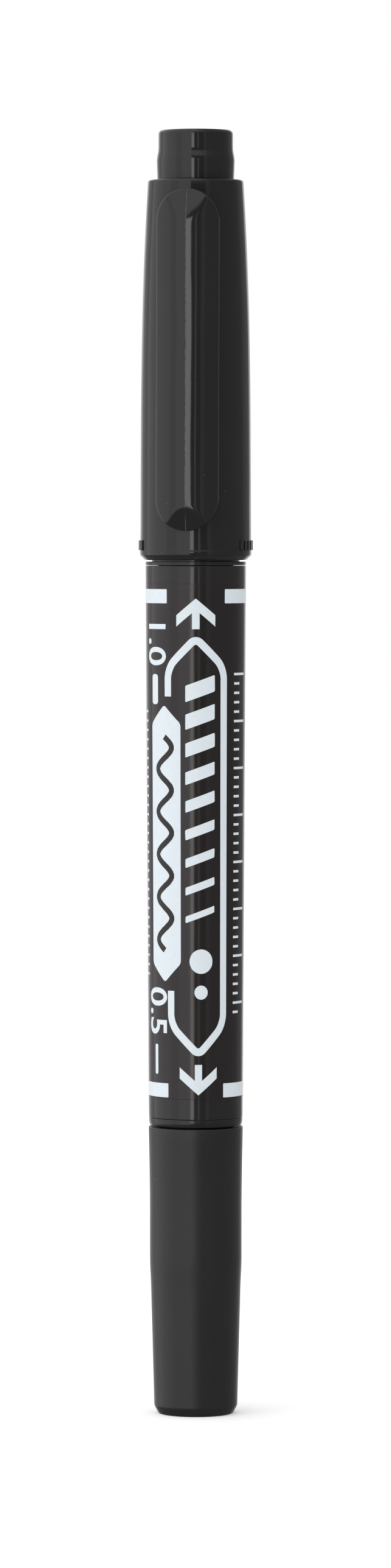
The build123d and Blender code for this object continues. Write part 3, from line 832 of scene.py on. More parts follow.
class MARKER_OT_print(bpy.types.Operator):
    """Lays the white print on the film: end bars, a frame with an arrow to each tip,
    line-width strokes and dots, numerals, a panel and two scales"""

    bl_idname = "marker.print"
    bl_label = "Print"

    def execute(self, context):
        size = context.scene.marker_print
        low, high, _ = span("label_film")
        side, rule = size.frame_half, size.rule
        lean = 0.3 * MM  # the print's lower end lies this far to the right
        shapes = []

        bar, bar_start, bar_end = 1.5 * MM, 3.32 * MM, 10.6 * MM
        for bar_low in (high - 2.07 * MM, low + 0.16 * MM):
            for left, right in ((-bar_end, -bar_start), (bar_start, bar_end)):
                shapes.append(block(left, right, bar_low, bar_low + bar, 0.08 * MM))

        wing, wing_drop, wing_edge, stem_end = 2.15 * MM, 1.78 * MM, 1.2 * MM, 3.25 * MM
        notch = wing_drop + wing_edge - (wing - rule / 2) * wing_drop / wing
        half_head = (
            (0, 0), (wing, wing_drop), (wing, wing_drop + wing_edge), (rule / 2, notch),
            (rule / 2, stem_end),
        )
        head = [*half_head, *((-across, down) for across, down in half_head[:0:-1])]
        for middle, apex, way in ((0.0, high - 1.55 * MM, -1), (lean, low + 0.45 * MM, 1)):
            shapes.append(patch([(middle + across, apex + way * down) for across, down in head]))

        neck_top, neck_low = high - 5.75 * MM, low + 4.75 * MM
        bend, turn, tip_turn = 3.2 * MM, 1.1 * MM, 0.7 * MM
        panel_top, panel_low = high - 12.85 * MM, low + 12.45 * MM
        shapes.append(stroke([
            (-side, panel_top + 0.9 * MM),
            (-side, neck_top - bend, turn),
            (0, neck_top, tip_turn),
            (side, neck_top - bend, turn),
            (side + lean / 6, neck_low + bend, turn),
            (lean, neck_low, tip_turn),
            (-side + lean, neck_low + bend, turn),
            (-side + lean, panel_low - 0.9 * MM),
        ], rule))

        panel_left, panel_right, point = -5.75 * MM, -1.7 * MM, 2.0 * MM
        middle = (panel_left + panel_right) / 2
        shapes.append(patch([
            (middle, panel_low),
            (panel_right, panel_low + point), (panel_right, panel_top - point),
            (middle, panel_top),
            (panel_left, panel_top - point), (panel_left, panel_low + point),
        ], 0.3 * MM))

        strokes, first_z, pitch = 9, high - 11.1 * MM, 3.0 * MM
        left, right, slant = -1.15 * MM, 2.1 * MM, 1.15 * MM
        for i in range(strokes):
            weight = (1.75 - 0.13 * i) * MM
            base = first_z - i * pitch - slant / 2 - weight / 2
            shapes.append(patch([
                (left, base), (right, base + slant), (right, base + slant + weight),
                (left, base + weight),
            ], 0.12 * MM))
        for rise, radius in ((14.7, 1.3), (11.4, 0.75)):
            shapes.append(disc(0.6 * MM, low + rise * MM, radius * MM))

        numeral_across, sample_drop, sample_run = -5.15 * MM, 6.1 * MM, 3.2 * MM
        for text, top, sample in (
            ("1.0", high - 3.5 * MM, 1.0 * MM),
            ("0.5", low + 11.9 * MM, 0.5 * MM),
        ):
            shapes.append(numeral(text, numeral_across, top, size.numeral))
            sample_top = top - sample_drop
            shapes.append(block(
                numeral_across - sample / 2, numeral_across + sample / 2,
                sample_top - sample_run, sample_top, sample / 3,
            ))

        scale_top, ticks, tick = high - 9.6 * MM, 37, 0.26 * MM
        tick_start, tick_end, long_tick_end = 4.75 * MM, 5.75 * MM, 6.9 * MM
        far_start, far_end = -7.6 * MM, -6.9 * MM
        for i in range(ticks):
            spot = scale_top - i * MM
            reach = tick_end if i % 5 else long_tick_end
            shapes.append(block(tick_start, reach, spot - tick / 2, spot + tick / 2))
            if panel_low < spot < panel_top:
                shapes.append(block(far_start, far_end, spot - tick / 2, spot + tick / 2))

        clear = 0.002 * MM  # keeps one printed layer off the layer below it
        ink = wrapped("white_print", shapes, size.ink, clear)
        complete(ink, "barrel", "printed_film", "white_ink")

        waves, wave, points, margin = 5, 0.95 * MM, 90, 3.4 * MM
        start, end = panel_top - margin, panel_low + margin
        trail = []
        for i in range(points + 1):
            t = i / points
            trail.append((middle + wave * sin(tau * waves * t), start + (end - start) * t))
        trail = stroke(trail, 0.62 * MM)
        line = wrapped("line_sample", [trail], size.ink, size.ink + 2 * clear)
        complete(line, "barrel", "printed_film", "mark_ink")
        return {"FINISHED"}


# ---- caps and tail plug ----------------------------------------------------------------------
PIPS_A_SIDE = 8  # grip pips on each side of the big cap
FIRST_PIP_TURN, PIP_PITCH = 64, 7  # degrees round from the clip to the first, and to the next


class MARKER_OT_small_cap(bpy.types.Operator):
    """Turns the short cap, flared at its mouth and tapered to its end, and its inner cap"""

    bl_idname = "marker.small_cap"
    bl_label = "Small Cap"

    def execute(self, context):
        size = context.scene.marker_caps
        _, mouth_z, mouth_r = span("small_cap")
        liner_low, liner_high, liner_r = span("small_cap_liner")
        waist_high, waist_low, knee_z = (mouth_z - drop * MM for drop in (9.0, 13.9, 17.2))
        step_z, step = liner_high + 1.2 * MM, 0.6 * MM
        floor = 1.4 * MM
        soft = 0.1 * MM
        taper = (size.knee - size.end) / (knee_z - size.end_chamfer)
        side = (
            ease((size.knee, knee_z), (size.waist, waist_low), taper, 0)
            + ease((size.waist, waist_high), (mouth_r, mouth_z), 0, 0.02)[:-1]
        )
        dimple, dimple_depth = 0.8 * MM, 0.08 * MM
        cap = turned("small_cap_shell", [
            (0, floor),
            (size.small_inner_bore, floor, soft * 3),
            (size.small_inner_bore, step_z - step, soft),
            (size.small_bore, step_z, soft),
            (size.small_bore, mouth_z, soft),
            (mouth_r, mouth_z, soft * 1.3),
            *side[::-1],
            (size.end, size.end_chamfer, soft * 1.5),
            (size.end - size.end_inset, 0, soft),
            (dimple, 0, soft / 2),
            (dimple - dimple_depth, dimple_depth, soft / 2),
            (0, dimple_depth),
        ])
        complete(cap, "small_cap", "satin_plastic", "satin_black", "small_cap")

        bore = liner_r - size.inner_wall - 0.04 * MM
        rib_z = liner_low + size.inner_wall + 9.4 * MM
        liner = turned("small_inner_cap", [
            (0, liner_low),
            (liner_r, liner_low, soft * 4),
            (liner_r, liner_high, soft * 2),
            (bore, liner_high, soft * 2),
            (bore, rib_z + 0.5 * MM, soft),
            (bore - 0.02 * MM, rib_z, soft),
            (bore, rib_z - 0.5 * MM, soft),
            (bore, liner_low + size.inner_wall, soft * 3),
            (0, liner_low + size.inner_wall),
        ])
        complete(liner, "small_cap", "liner_plastic", "inner_plastic", "small_cap_liner")
        return {"FINISHED"}


def big_cap_stations():
    """Where the big cap's swelling side passes, from above its lip to its top edge."""
    size = bpy.context.scene.marker_caps
    mouth_z, top_z, _ = span("big_cap")
    return (
        (size.lip, mouth_z + size.lip_height * 2),
        (size.body, top_z - size.body_drop),
        (size.shoulder, top_z - size.shoulder_drop),
        (size.top, top_z - size.top_round),
    )


def clip_root():
    """The clip's root: its distance out from the axis and its height."""
    joint = next(joint for joint in frame["joints"] if joint["name"] == "clip_flex")
    return -joint["pos_m"][1], joint["pos_m"][2]


def bar_tool(name, corner_low, corner_high, rounding):
    """A rounded rectangular tool or web between two corners."""
    start_clean()
    middle = [(a + b) / 2 for a, b in zip(corner_low, corner_high)]
    bpy.ops.mesh.primitive_cube_add(size=1, location=middle)
    piece = latest(name)
    piece.scale = [b - a for a, b in zip(corner_low, corner_high)]
    settle(piece)
    modify(piece, "BEVEL", width=rounding, segments=3)
    return piece


def pin_tool(name, centre, radius, width):
    """A pin across the pen with rounded ends."""
    start_clean()
    bpy.ops.mesh.primitive_cylinder_add(
        vertices=48, radius=radius, depth=width, location=centre, rotation=(0, pi / 2, 0)
    )
    piece = latest(name)
    settle(piece)
    modify(piece, "BEVEL", width=radius / 6, segments=2, limit_method="ANGLE")
    return piece


class MARKER_OT_big_cap(bpy.types.Operator):
    """Turns the long cap and its inner cap, raises the grip pips and cuts the clip's pocket"""

    bl_idname = "marker.big_cap"
    bl_label = "Big Cap"

    def execute(self, context):
        size, clip = context.scene.marker_caps, context.scene.marker_clip
        mouth_z, top_z, _ = span("big_cap")
        liner_low, liner_high, liner_r = span("big_cap_liner")
        plug_low = span("tail_plug")[0]
        lip_z = mouth_z + size.lip_height
        step_z = liner_low - 0.6 * MM
        plug_step_z = plug_low - INNER_GAP
        soft = 0.09 * MM
        stations, rings = big_cap_stations(), 24
        side_low, side_run = stations[0][1], stations[-1][1] - stations[0][1]
        side = [side_low + side_run * i / rings for i in range(rings)]
        cap = turned("big_cap_shell", [
            (size.top, top_z, size.top_round),
            (size.plug_bore, top_z, soft),
            (size.plug_bore, plug_step_z, soft / 2),
            (size.big_inner_bore, plug_step_z, soft / 2),
            (size.big_inner_bore, step_z, soft),
            (size.big_bore, step_z, soft),
            (size.big_bore, mouth_z, soft),
            (size.lip - size.mouth_chamfer, mouth_z, soft),
            (size.lip, mouth_z + size.mouth_chamfer, soft / 2),
            (size.lip + size.lip_bead, lip_z, soft),
            (size.lip, lip_z + size.mouth_chamfer / 3, soft / 2),
            *((radius_at(stations, height), height) for height in side),
        ])

        pip_z, half = mouth_z + size.grip_rise, size.grip_width / 2
        first_pip = bar_tool(
            "grip_pip", (-half, -size.lip - size.grip_proud, pip_z),
            (half, -size.lip + size.grip_proud, pip_z + size.grip_height), 0.06 * MM,
        )
        pips = [first_pip]
        while len(pips) < 2 * PIPS_A_SIDE:
            take(first_pip)
            bpy.ops.object.duplicate()
            pips.append(bpy.context.object)
        for i, pip in enumerate(pips):
            way, step = (-1, 1)[i // PIPS_A_SIDE], i % PIPS_A_SIDE
            pip.rotation_euler.z = way * radians(FIRST_PIP_TURN + PIP_PITCH * step)
            settle(pip)

        root_y, root_z = clip_root()
        pocket_r, pocket_half = clip.knuckle + clip.room, clip.knuckle_width / 2 + clip.room
        cut(cap, "DIFFERENCE", pin_tool(
            "pocket_pin", (0, -root_y, root_z), pocket_r, pocket_half * 2
        ))
        cut(cap, "DIFFERENCE", bar_tool(
            "pocket_mouth", (-pocket_half, -root_y - 3 * MM, root_z - pocket_r),
            (pocket_half, -root_y, root_z + pocket_r), 0.08 * MM,
        ))
        cap = joined("big_cap_shell", [cap, *pips])
        complete(cap, "big_cap", "black_plastic", "gloss_black", "big_cap")

        bore = liner_r - size.inner_wall - 0.05 * MM
        roof = liner_high - size.inner_wall
        liner = turned("big_inner_cap", [
            (0, roof),
            (bore, roof, soft * 4),
            (bore, liner_low + 2 * MM, soft),
            (bore - 0.02 * MM, liner_low + 1.5 * MM, soft),
            (bore, liner_low + MM, soft),
            (bore, liner_low, soft * 2),
            (liner_r, liner_low, soft * 2),
            (liner_r, liner_high, soft * 4),
            (0, liner_high),
        ])
        complete(liner, "big_cap", "liner_plastic", "inner_plastic", "big_cap_liner")
        return {"FINISHED"}


class MARKER_OT_tail_plug(bpy.types.Operator):
    """Turns the plug in the big cap's top, with the beaded seat that takes the small cap"""

    bl_idname = "marker.tail_plug"
    bl_label = "Tail Plug"

    def execute(self, context):
        size, seat = context.scene.marker_caps, context.scene.marker_barrel
        low, high, _ = span("tail_plug")
        foot_z = span("big_cap")[1]
        spigot_r = size.plug_bore - SPIGOT_GAP
        hollow_r, roof = spigot_r - 1.1 * MM, high - 1.6 * MM
        middle = foot_z + size.plug_bead_rise
        crest = seat.seat + seat.seat_bead
        soft = 0.07 * MM
        dish_r = seat.seat - 1.1 * MM
        plug = turned("tail_plug_piece", [
            (0, roof),
            (hollow_r, roof, soft * 4),
            (hollow_r, low, soft),
            (spigot_r, low, soft * 3),
            (spigot_r, foot_z),
            (size.plug_foot, foot_z, soft),
            (crest, middle, 0.3 * MM),
            (seat.seat, middle + 1.0 * MM, 0.3 * MM),
            (seat.seat, high, 0.42 * MM),
            (dish_r, high, soft),
            (dish_r - size.plug_dish, high - size.plug_dish, soft),
            (0, high - size.plug_dish),
        ], segments=6)
        complete(plug, "big_cap", "black_plastic", "gloss_black", "tail_plug")
        return {"FINISHED"}


# The clip's face across its width: how far out from the middle, and the slope there in degrees.
# It is nearly flat each side of the parting line, then rolls over to the edges.
CROWN_SLOPES = ((0.0, 2.7), (0.65, 6.8), (1.05, 12.0), (1.6, 21.5), (3.6, 44.0))
TOP_CREASE, END_CREASE = 0.3 * MM, 0.03 * MM  # how softly each facet meets the face


def crown_fall(across):
    """How far the clip's face has fallen at a distance from its middle, in metres."""
    fall, reach = 0.0, abs(across) / MM
    for (start, slope), (end, next_slope) in zip(CROWN_SLOPES, CROWN_SLOPES[1:]):
        part = min(reach, end) - start
        if part > 0:
            mean = slope + (next_slope - slope) * part / (end - start) / 2
            fall += part * tan(radians(mean))
    return fall * MM


def crowded(share):
    """A share from -1 to 1, moved so that even steps crowd together near the ends."""
    return share * (1.5 - share * share / 2)


def soft_least(first, second, blend):
    """The lesser of two heights, with the crease between them rounded."""
    near = max(blend - abs(first - second), 0.0) / blend
    return min(first, second) - near * near * blend / 4


class MARKER_OT_clip(bpy.types.Operator):
    """Shapes the pocket clip: a crowned, round-ended spring with a facet at each end"""

    bl_idname = "marker.clip"
    bl_label = "Clip"

    def face(self, across, height):
        """How far the clip's face is from the pen's axis."""
        size, low, high = self.size, self.low, self.high

        def crown(level):
            share = (level - low) / (high - low)
            return size.crown_low + share * (size.crown_high - size.crown_low)

        out = crown(height) - crown_fall(across)
        for edge, end, fall, crease in (
            (high - size.top_facet, high, size.top_fall, TOP_CREASE),
            (low + size.end_facet, low, size.end_fall, END_CREASE),
        ):
            share = (height - edge) / (end - edge)
            facet = crown(edge) + share * (crown(end) - fall - crown(edge))
            out = soft_least(out, facet, crease)
        return out

    def execute(self, context):
        self.size, cap = context.scene.marker_clip, context.scene.marker_caps
        size = self.size
        self.low, self.high, half = span("clip")
        low, high = self.low, self.high
        columns, end_rows, side_rows = 48, 26, 90
        rows = end_rows * 2 + side_rows
        deep = 3 * MM  # enough for the inner side to be drawn back to the cap

        start_clean()
        bpy.ops.mesh.primitive_grid_add(x_subdivisions=columns, y_subdivisions=rows, size=2)
        clip = latest("pocket_clip")
        for vertex in clip.data.vertices:
            out, row = crowded(vertex.co.x), (vertex.co.y + 1) / 2 * rows
            way = 1 if row > rows / 2 else -1
            along = crowded(max(0.0, abs(row - rows / 2) - side_rows / 2) / end_rows)
            straight = min(abs(row - rows / 2) / (side_rows / 2), 1.0) * ((high - low) / 2 - half)
            x = half * out * (1 - along * along / 2) ** 0.5
            if 0 < abs(out) < 1.5 * crowded(2 / columns):
                x = size.crease / 2 * (1 if out > 0 else -1)
            past = half * along * (1 - out * out / 2) ** 0.5
            z = (low + high) / 2 + way * (straight + past)
            short = max(0.0, size.edge - half + (x * x + past * past) ** 0.5)
            fall = size.edge - (size.edge**2 - min(short, size.edge) ** 2) ** 0.5
            vertex.co = (x, fall - self.face(x, z), z)
        bpy.ops.object.mode_set(mode="EDIT")
        draw_out((0, deep, 0))
        bpy.ops.object.mode_set(mode="OBJECT")
        stations = big_cap_stations()
        for vertex in clip.data.vertices:
            if vertex.select:
                reach = radius_at(stations, vertex.co.z) + size.gap
                vertex.co.y = -((reach**2 - vertex.co.x**2) ** 0.5)
        bpy.ops.object.mode_set(mode="EDIT")
        face_out()
        bpy.ops.mesh.select_mode(type="EDGE")
        bpy.ops.mesh.select_all(action="DESELECT")
        bpy.ops.mesh.edges_select_sharp(sharpness=SHARP_FROM)
        bpy.ops.mesh.bevel(offset=size.edge, segments=3, affect="EDGES", clamp_overlap=True)
        settle(clip)

        root_y, root_z = clip_root()
        half_web = size.knuckle_width / 2
        cut(clip, "UNION", bar_tool(
            "clip_web", (-half_web, -root_y - 1.5 * MM, root_z - size.stalk / 2),
            (half_web, -root_y, root_z + size.stalk / 2), 0.1 * MM,
        ))
        cut(clip, "UNION", pin_tool(
            "clip_knuckle", (0, -root_y, root_z), size.knuckle, size.knuckle_width
        ))
        start_clean()
        bpy.ops.mesh.primitive_uv_sphere_add(
            segments=32, ring_count=20, radius=size.nub,
            location=(0, -cap.lip - 0.15 * MM - size.nub, low + size.nub_rise),
        )
        nub = context.object
        settle(nub)
        cut(clip, "UNION", nub)
        complete(clip, "clip", "black_plastic", "clip_black", "clip")
        return {"FINISHED"}


# ---- bullet section, cartridge and nibs ------------------------------------------------------
class MARKER_OT_bullet_section(bpy.types.Operator):
    """Turns the pull-out bullet section and the rubber ring in its groove"""

    bl_idname = "marker.bullet_section"
    bl_label = "Bullet Section"

    def execute(self, context):
        size, caps = context.scene.marker_barrel, context.scene.marker_caps
        spigot_low, nose_end, flange_r = span("bullet_section")
        seal_low, seal_high, seal_r = span("section_seal_ring")
        flange_z = span("barrel")[1] + 0.06 * MM
        seat_z = span("big_cap")[0] - CAP_GAP
        seat_r = caps.big_bore - size.seat_bead - 0.04 * MM
        neck_r, bore = seat_r - 1.14 * MM, seat_r - 1.74 * MM
        spigot_r, groove_r = BARREL_BORE - 0.06 * MM, seal_r - 0.55 * MM
        seat_end, neck_end = seat_z + 7.8 * MM, seat_z + 12.8 * MM
        nose_bore, nose_r = 2.15 * MM, 2.75 * MM
        inner_z = nose_end - 9.4 * MM
        soft = 0.08 * MM
        section = turned("bullet_tip_section", [
            (flange_r, seat_z, soft / 2),
            (flange_r, flange_z, soft / 2),
            (spigot_r, flange_z, soft / 2),
            (spigot_r, seal_high, soft / 2),
            (groove_r, seal_high),
            (groove_r, seal_low),
            (spigot_r, seal_low, soft / 2),
            (spigot_r, spigot_low, soft * 2),
            (bore, spigot_low, soft),
            (bore, inner_z, soft * 2),
            (nose_bore, inner_z + 0.4 * MM, soft),
            (nose_bore, nose_end, soft),
            (nose_r, nose_end, soft * 3),
            (neck_r, neck_end, soft * 8),
            (neck_r, seat_end, soft * 2),
            (seat_r - 0.5 * MM, seat_end, soft),
            (seat_r, seat_end - 0.5 * MM, soft * 2),
            *bow(seat_r, seat_z + 3.8 * MM, size.seat_bead, size.seat_bead_length, up=False),
            (seat_r, seat_z, soft / 2),
        ])
        complete(section, "bullet_section", "black_plastic", "tip_black", "bullet_section")
        ring = turned("seal_ring", [
            (seal_r, seal_low, soft * 2.5), (seal_r, seal_high, soft * 2.5),
            (groove_r, seal_high, soft), (groove_r, seal_low, soft),
        ])
        complete(ring, "bullet_section", "seal_rubber", "ring_rubber", "section_seal_ring")
        return {"FINISHED"}


def grooved(radius, low, height, soft):
    """The outline of a shallow groove round the middle of an end plug's flange."""
    groove = 0.16 * MM
    return [
        (radius, low + height * 0.35, soft),
        (radius - groove, low + height * 0.5, soft),
        (radius, low + height * 0.65, soft),
    ]


class MARKER_OT_cartridge(bpy.types.Operator):
    """Turns the ink cartridge: tube, wrapped wadding, and the plug at each end"""

    bl_idname = "marker.cartridge"
    bl_label = "Ink Cartridge"

    def execute(self, context):
        tube_low, tube_high, tube_r = span("cartridge_tube")
        wad_low, wad_high, wad_r = span("ink_wadding")
        wrap_r = span("wadding_wrap")[2]
        bore = tube_r - 0.45 * MM
        nib_low, _, nib_r = span("bullet_nib")
        wick_low, wick_high, wick_r = span("fine_feed_wick")
        soft = 0.08 * MM
        tube = turned("cartridge_shell", [
            (bore, tube_low, soft), (tube_r, tube_low, soft),
            (tube_r, tube_high, soft), (bore, tube_high, soft),
        ])
        complete(tube, "cartridge", "cartridge_plastic", "tube_plastic", "cartridge_tube")
        wadding = turned("wadding_rod", [
            (0, wick_high), (wick_r, wick_high), (wick_r, wad_low, soft),
            (wad_r, wad_low, soft * 3), (wad_r, wad_high, soft * 3),
            (nib_r, wad_high, soft), (nib_r, nib_low), (0, nib_low),
        ])
        complete(wadding, "cartridge", "ink_fibre", "wadding_fibre", "ink_wadding")
        wrap = turned("wadding_film", [
            (wad_r, wad_low), (wrap_r, wad_low, soft / 4), (wrap_r, wad_high, soft / 4),
            (wad_r, wad_high),
        ])
        complete(wrap, "cartridge", "clear_wrap", "creased_wrap", "wadding_wrap")

        spigot_r, flange = bore - SPIGOT_GAP, 1.0 * MM
        top_low, top_high, _ = span("bullet_end_plug")
        neck_r, stem_r, stem_z = 2.81 * MM, 2.0 * MM, top_high - 9.0 * MM
        upper = turned("upper_end_plug", [
            (nib_r, top_low, soft),
            (spigot_r, top_low, soft * 3),
            (spigot_r, tube_high),
            (tube_r, tube_high, soft),
            *grooved(tube_r, tube_high, flange, soft / 2),
            (tube_r, tube_high + flange, soft * 2),
            (neck_r, tube_high + flange, soft * 2),
            (neck_r, stem_z - 0.6 * MM, soft * 2),
            (stem_r, stem_z, soft * 2),
            (stem_r, top_high, soft * 2),
            (nib_r, top_high, soft),
        ])
        complete(upper, "cartridge", "cartridge_plastic", "plug_plastic", "bullet_end_plug")

        low_low, low_high, _ = span("fine_end_plug")
        _, sleeve_top, sleeve_r = span("fine_nib_sleeve")
        fine_r = span("fine_nib")[2]
        fine_stem_r, fine_neck_r = sleeve_r + 0.3 * MM, wick_r + 0.9 * MM
        shoulder_z, flange_low = low_low + 7.8 * MM, tube_low - flange
        lower = turned("lower_end_plug", [
            (wick_r, low_high, soft),
            (wick_r, wick_low),
            (fine_r, wick_low),
            (fine_r, sleeve_top),
            (sleeve_r, sleeve_top),
            (sleeve_r, low_low, soft / 2),
            (fine_stem_r, low_low, soft),
            (fine_stem_r, shoulder_z, soft),
            (fine_neck_r, shoulder_z + 0.4 * MM, soft),
            (fine_neck_r, flange_low, soft * 2),
            (tube_r, flange_low, soft * 2),
            *grooved(tube_r, flange_low, flange, soft / 2),
            (tube_r, tube_low, soft),
            (spigot_r, tube_low),
            (spigot_r, low_high, soft * 3),
        ])
        complete(lower, "cartridge", "cartridge_plastic", "plug_plastic", "fine_end_plug")
        wick = turned("feed_wick", [
            (0, wick_low), (wick_r, wick_low, soft), (wick_r, wick_high, soft), (0, wick_high),
        ])
        complete(wick, "cartridge", "ink_fibre", "wadding_fibre", "fine_feed_wick")
        return {"FINISHED"}


class MARKER_OT_nibs(bpy.types.Operator):
    """Turns the felt bullet nib, the fine nib and the steel sleeve round it"""

    bl_idname = "marker.nibs"
    bl_label = "Nibs"

    def execute(self, context):
        low, point, nib_r = span("bullet_nib")
        ball = 0.5 * MM
        bullet = turned("bullet_felt_nib", [
            (0, low),
            (nib_r, low, 0.08 * MM),
            (nib_r, point - 2.6 * MM, 0.5 * MM),
            (ball, point - ball * 0.7, 0.2 * MM),
            (ball * 0.55, point - ball * 0.15, 0.15 * MM),
            (0, point),
        ], steps=64)
        complete(bullet, "cartridge", "felt_nib", "felt", "bullet_nib")

        fine_low, fine_high, fine_r = span("fine_nib")
        point_r = 0.22 * MM
        fine = turned("fine_hard_nib", [
            (0, fine_high),
            (fine_r, fine_high),
            (fine_r, fine_low + 0.8 * MM, 0.1 * MM),
            (point_r, fine_low + 0.05 * MM, 0.08 * MM),
            (point_r * 0.4, fine_low),
            (0, fine_low),
        ], steps=48)
        complete(fine, "cartridge", "nib_plastic", "nib_resin", "fine_nib")

        sleeve_low, sleeve_high, sleeve_r = span("fine_nib_sleeve")
        mouth_r, taper = fine_r + 0.2 * MM, 1.2 * MM
        sleeve = turned("steel_sleeve", [
            (fine_r, sleeve_low, 0.03 * MM),
            (mouth_r, sleeve_low, 0.07 * MM),
            (sleeve_r, sleeve_low + taper, 0.3 * MM),
            (sleeve_r, sleeve_high, 0.05 * MM),
            (fine_r, sleeve_high),
        ], steps=96)
        complete(sleeve, "cartridge", "nib_steel", "drawn_steel", "fine_nib_sleeve")
        return {"FINISHED"}


# ---- the studio ------------------------------------------------------------------------------
CAMERA_TURN = 9.0  # degrees round from -Y towards +X
CAMERA_DISTANCE, CAMERA_HEIGHT = 0.735, 0.0962  # metres
CAMERA_AIM = Vector((-0.00003, 0, 0.06741))
CAMERA_LENS, CAMERA_SENSOR = 158.1, 36  # millimetres
KEY_PLACE, KEY_AIM, KEY_SIZE = (-0.55, -0.6, 0.75), Vector((0, 0, 0.07)), 0.5
FLOOR_RADIUS, FLOOR_DEPTH, FLOOR_EDGE = 2.4, 0.01, 0.004

# Brightness round the studio, by degrees from the camera's side to the right (+) or left (-):
# where each stretch starts, and how bright it is. Tall soft boxes stand left of the camera,
# and two short strip lamps beside it.
STUDIO_FIRST = 1.0
STUDIO_STRETCHES = (
    (-150, 0.62), (-123, 1.08), (-63, 0.92), (-41, 1.1), (-12.6, 0.15), (24, 0.36), (33, 0.25),
    (118, 0.32), (150, 1.0),
)
STRIP_LAMPS = ((-12.6, -4.8, 2.65), (5.0, 9.0, 0.65))
SOFT_EDGE = 0.9  # degrees, half the width of each change
# Heights below are sines of the angle above the horizon.
LAMPS_END = (0.20, 0.17)
CEILING, CEILING_LEFT, CEILING_RIGHT = (0.28, 0.42), 1.1, 0.4
GROUND, GROUND_LIGHT = (-0.22, -0.42), 0.18
SOFT_LIGHT, SOFT_SIDE = 1.0, 0.38  # soft light on matt surfaces, and how much more from the left


def studio_walls():
    """The studio as gloss reflects it, with plain soft light for matt surfaces."""
    world = bpy.data.worlds.new("studio_walls")
    bpy.context.scene.world = world
    world.use_nodes = True
    bench = Bench(world.node_tree)
    ray = bench.node("ShaderNodeTexCoord", output="Generated")
    x, y, z = (bench.node("ShaderNodeSeparateXYZ", {}, {0: ray}, axis) for axis in "XYZ")
    turn = ray.math("ARCTAN2", x, 0 - y) * (180 / pi) - CAMERA_TURN
    side, level = STUDIO_FIRST, STUDIO_FIRST
    for start, brightness in STUDIO_STRETCHES:
        step = bench.band(turn, start - SOFT_EDGE, start + SOFT_EDGE, 0.0, brightness - level)
        side = step + side
        level = brightness
    lamp_height = bench.band(ray.math("ABSOLUTE", z), *LAMPS_END)
    for start, end, brightness in STRIP_LAMPS:
        lamp, past = (bench.band(turn, at - SOFT_EDGE, at + SOFT_EDGE) for at in (start, end))
        side = (lamp - past) * lamp_height * brightness + side
    overhead = bench.band(turn, 0, 50, CEILING_LEFT, CEILING_RIGHT)
    up, down = bench.band(z, *CEILING), bench.band(z, *GROUND)
    walls = side * (1 - up) + overhead * up
    walls = walls * (1 - down) + down * GROUND_LIGHT
    warm = bench.blend(bench.band(walls, 1.2, 2.4), (1.0, 0.975, 1.0), (1.03, 1.0, 0.955))
    seen = bench.blend(1.0, walls, warm, "MULTIPLY")
    is_camera = bench.node("ShaderNodeLightPath", output="Is Camera Ray")
    is_diffuse = bench.node("ShaderNodeLightPath", output="Is Diffuse Ray")
    soft = bench.blend(1.0, (1.0, 1.0, 1.0), SOFT_LIGHT - SOFT_SIDE * x, "MULTIPLY")
    seen = bench.blend(is_diffuse, seen, soft)
    seen = bench.blend(is_camera, seen, (1.0, 1.0, 1.0))
    glow = bench.node("ShaderNodeBackground", {}, {"Color": seen})
    bench.node("ShaderNodeOutputWorld", {}, {"Surface": glow})


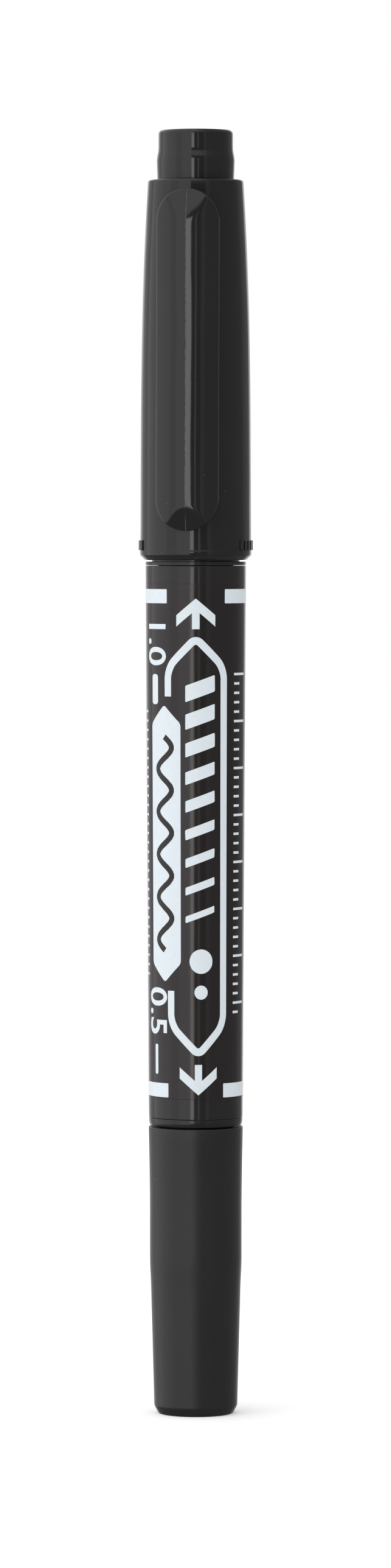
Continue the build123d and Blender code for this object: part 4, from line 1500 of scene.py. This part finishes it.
class MARKER_OT_stage(bpy.types.Operator):
    """Sets the pale floor, the soft studio light and the camera"""

    bl_idname = "marker.stage"
    bl_label = "Stage"

    def execute(self, context):
        scene = context.scene
        scene.view_settings.view_transform = "Standard"
        studio_walls()

        start_clean()
        bpy.ops.mesh.primitive_circle_add(vertices=96, radius=FLOOR_RADIUS, fill_type="NGON")
        floor = latest("studio_floor")
        bpy.ops.object.mode_set(mode="EDIT")
        draw_out((0, 0, -FLOOR_DEPTH))
        face_out()
        settle(floor)
        modify(floor, "BEVEL", width=FLOOR_EDGE, segments=2, limit_method="ANGLE")
        floor.data.materials.append(finish_named("floor_paint"))
        floor.visible_glossy = False

        bpy.ops.object.light_add(type="AREA", location=KEY_PLACE)
        key = latest("soft_key")
        key.data.shape = "DISK"
        key.data.size = KEY_SIZE
        key.data.energy = 1.0
        key.rotation_euler = (KEY_AIM - key.location).to_track_quat("-Z", "Y").to_euler()
        key.visible_glossy = False

        away = radians(CAMERA_TURN)
        bpy.ops.object.camera_add(location=(
            CAMERA_DISTANCE * sin(away), -CAMERA_DISTANCE * cos(away), CAMERA_HEIGHT
        ))
        camera = latest("studio_camera")
        camera.rotation_euler = (CAMERA_AIM - camera.location).to_track_quat("-Z", "Y").to_euler()
        camera.data.sensor_width = CAMERA_SENSOR
        camera.data.lens = CAMERA_LENS
        camera.data.clip_start = 0.01
        camera.data.clip_end = 20
        scene.camera = camera
        return {"FINISHED"}


PIECES = (
    MARKER_OT_barrel,
    MARKER_OT_fine_section,
    MARKER_OT_print,
    MARKER_OT_small_cap,
    MARKER_OT_big_cap,
    MARKER_OT_tail_plug,
    MARKER_OT_clip,
    MARKER_OT_bullet_section,
    MARKER_OT_cartridge,
    MARKER_OT_nibs,
    MARKER_OT_stage,
)
GROUPS = {
    "marker_barrel": MarkerBarrelSizes,
    "marker_caps": MarkerCapSizes,
    "marker_clip": MarkerClipSizes,
    "marker_print": MarkerPrintSizes,
    "marker_finishes": MarkerFinishes,
}


class MARKER_PT_sidebar(bpy.types.Panel):
    """The marker's pieces, sizes and finishes"""

    bl_label = "Twin-Tip Marker"
    bl_idname = "MARKER_PT_sidebar"
    bl_space_type = "VIEW_3D"
    bl_region_type = "UI"
    bl_category = "Marker"

    def draw(self, context):
        column = self.layout.column(align=True)
        for piece in PIECES:
            column.operator(piece.bl_idname)
        for name, group in GROUPS.items():
            box = self.layout.box()
            box.label(text=name.replace("_", " ").title())
            for size in group.__annotations__:
                label = size.replace("_", " ").capitalize()
                box.prop(getattr(context.scene, name), size, text=label)


CLASSES = (*GROUPS.values(), *PIECES, MARKER_PT_sidebar)


def register():
    for item in CLASSES:
        bpy.utils.register_class(item)
    for name, group in GROUPS.items():
        setattr(bpy.types.Scene, name, PointerProperty(type=group))


def unregister():
    for name in GROUPS:
        delattr(bpy.types.Scene, name)
    for item in reversed(CLASSES):
        bpy.utils.unregister_class(item)


def main():
    register()
    for piece in PIECES:
        group, name = piece.bl_idname.split(".")
        getattr(getattr(bpy.ops, group), name)()


if __name__ == "__main__":
    main()
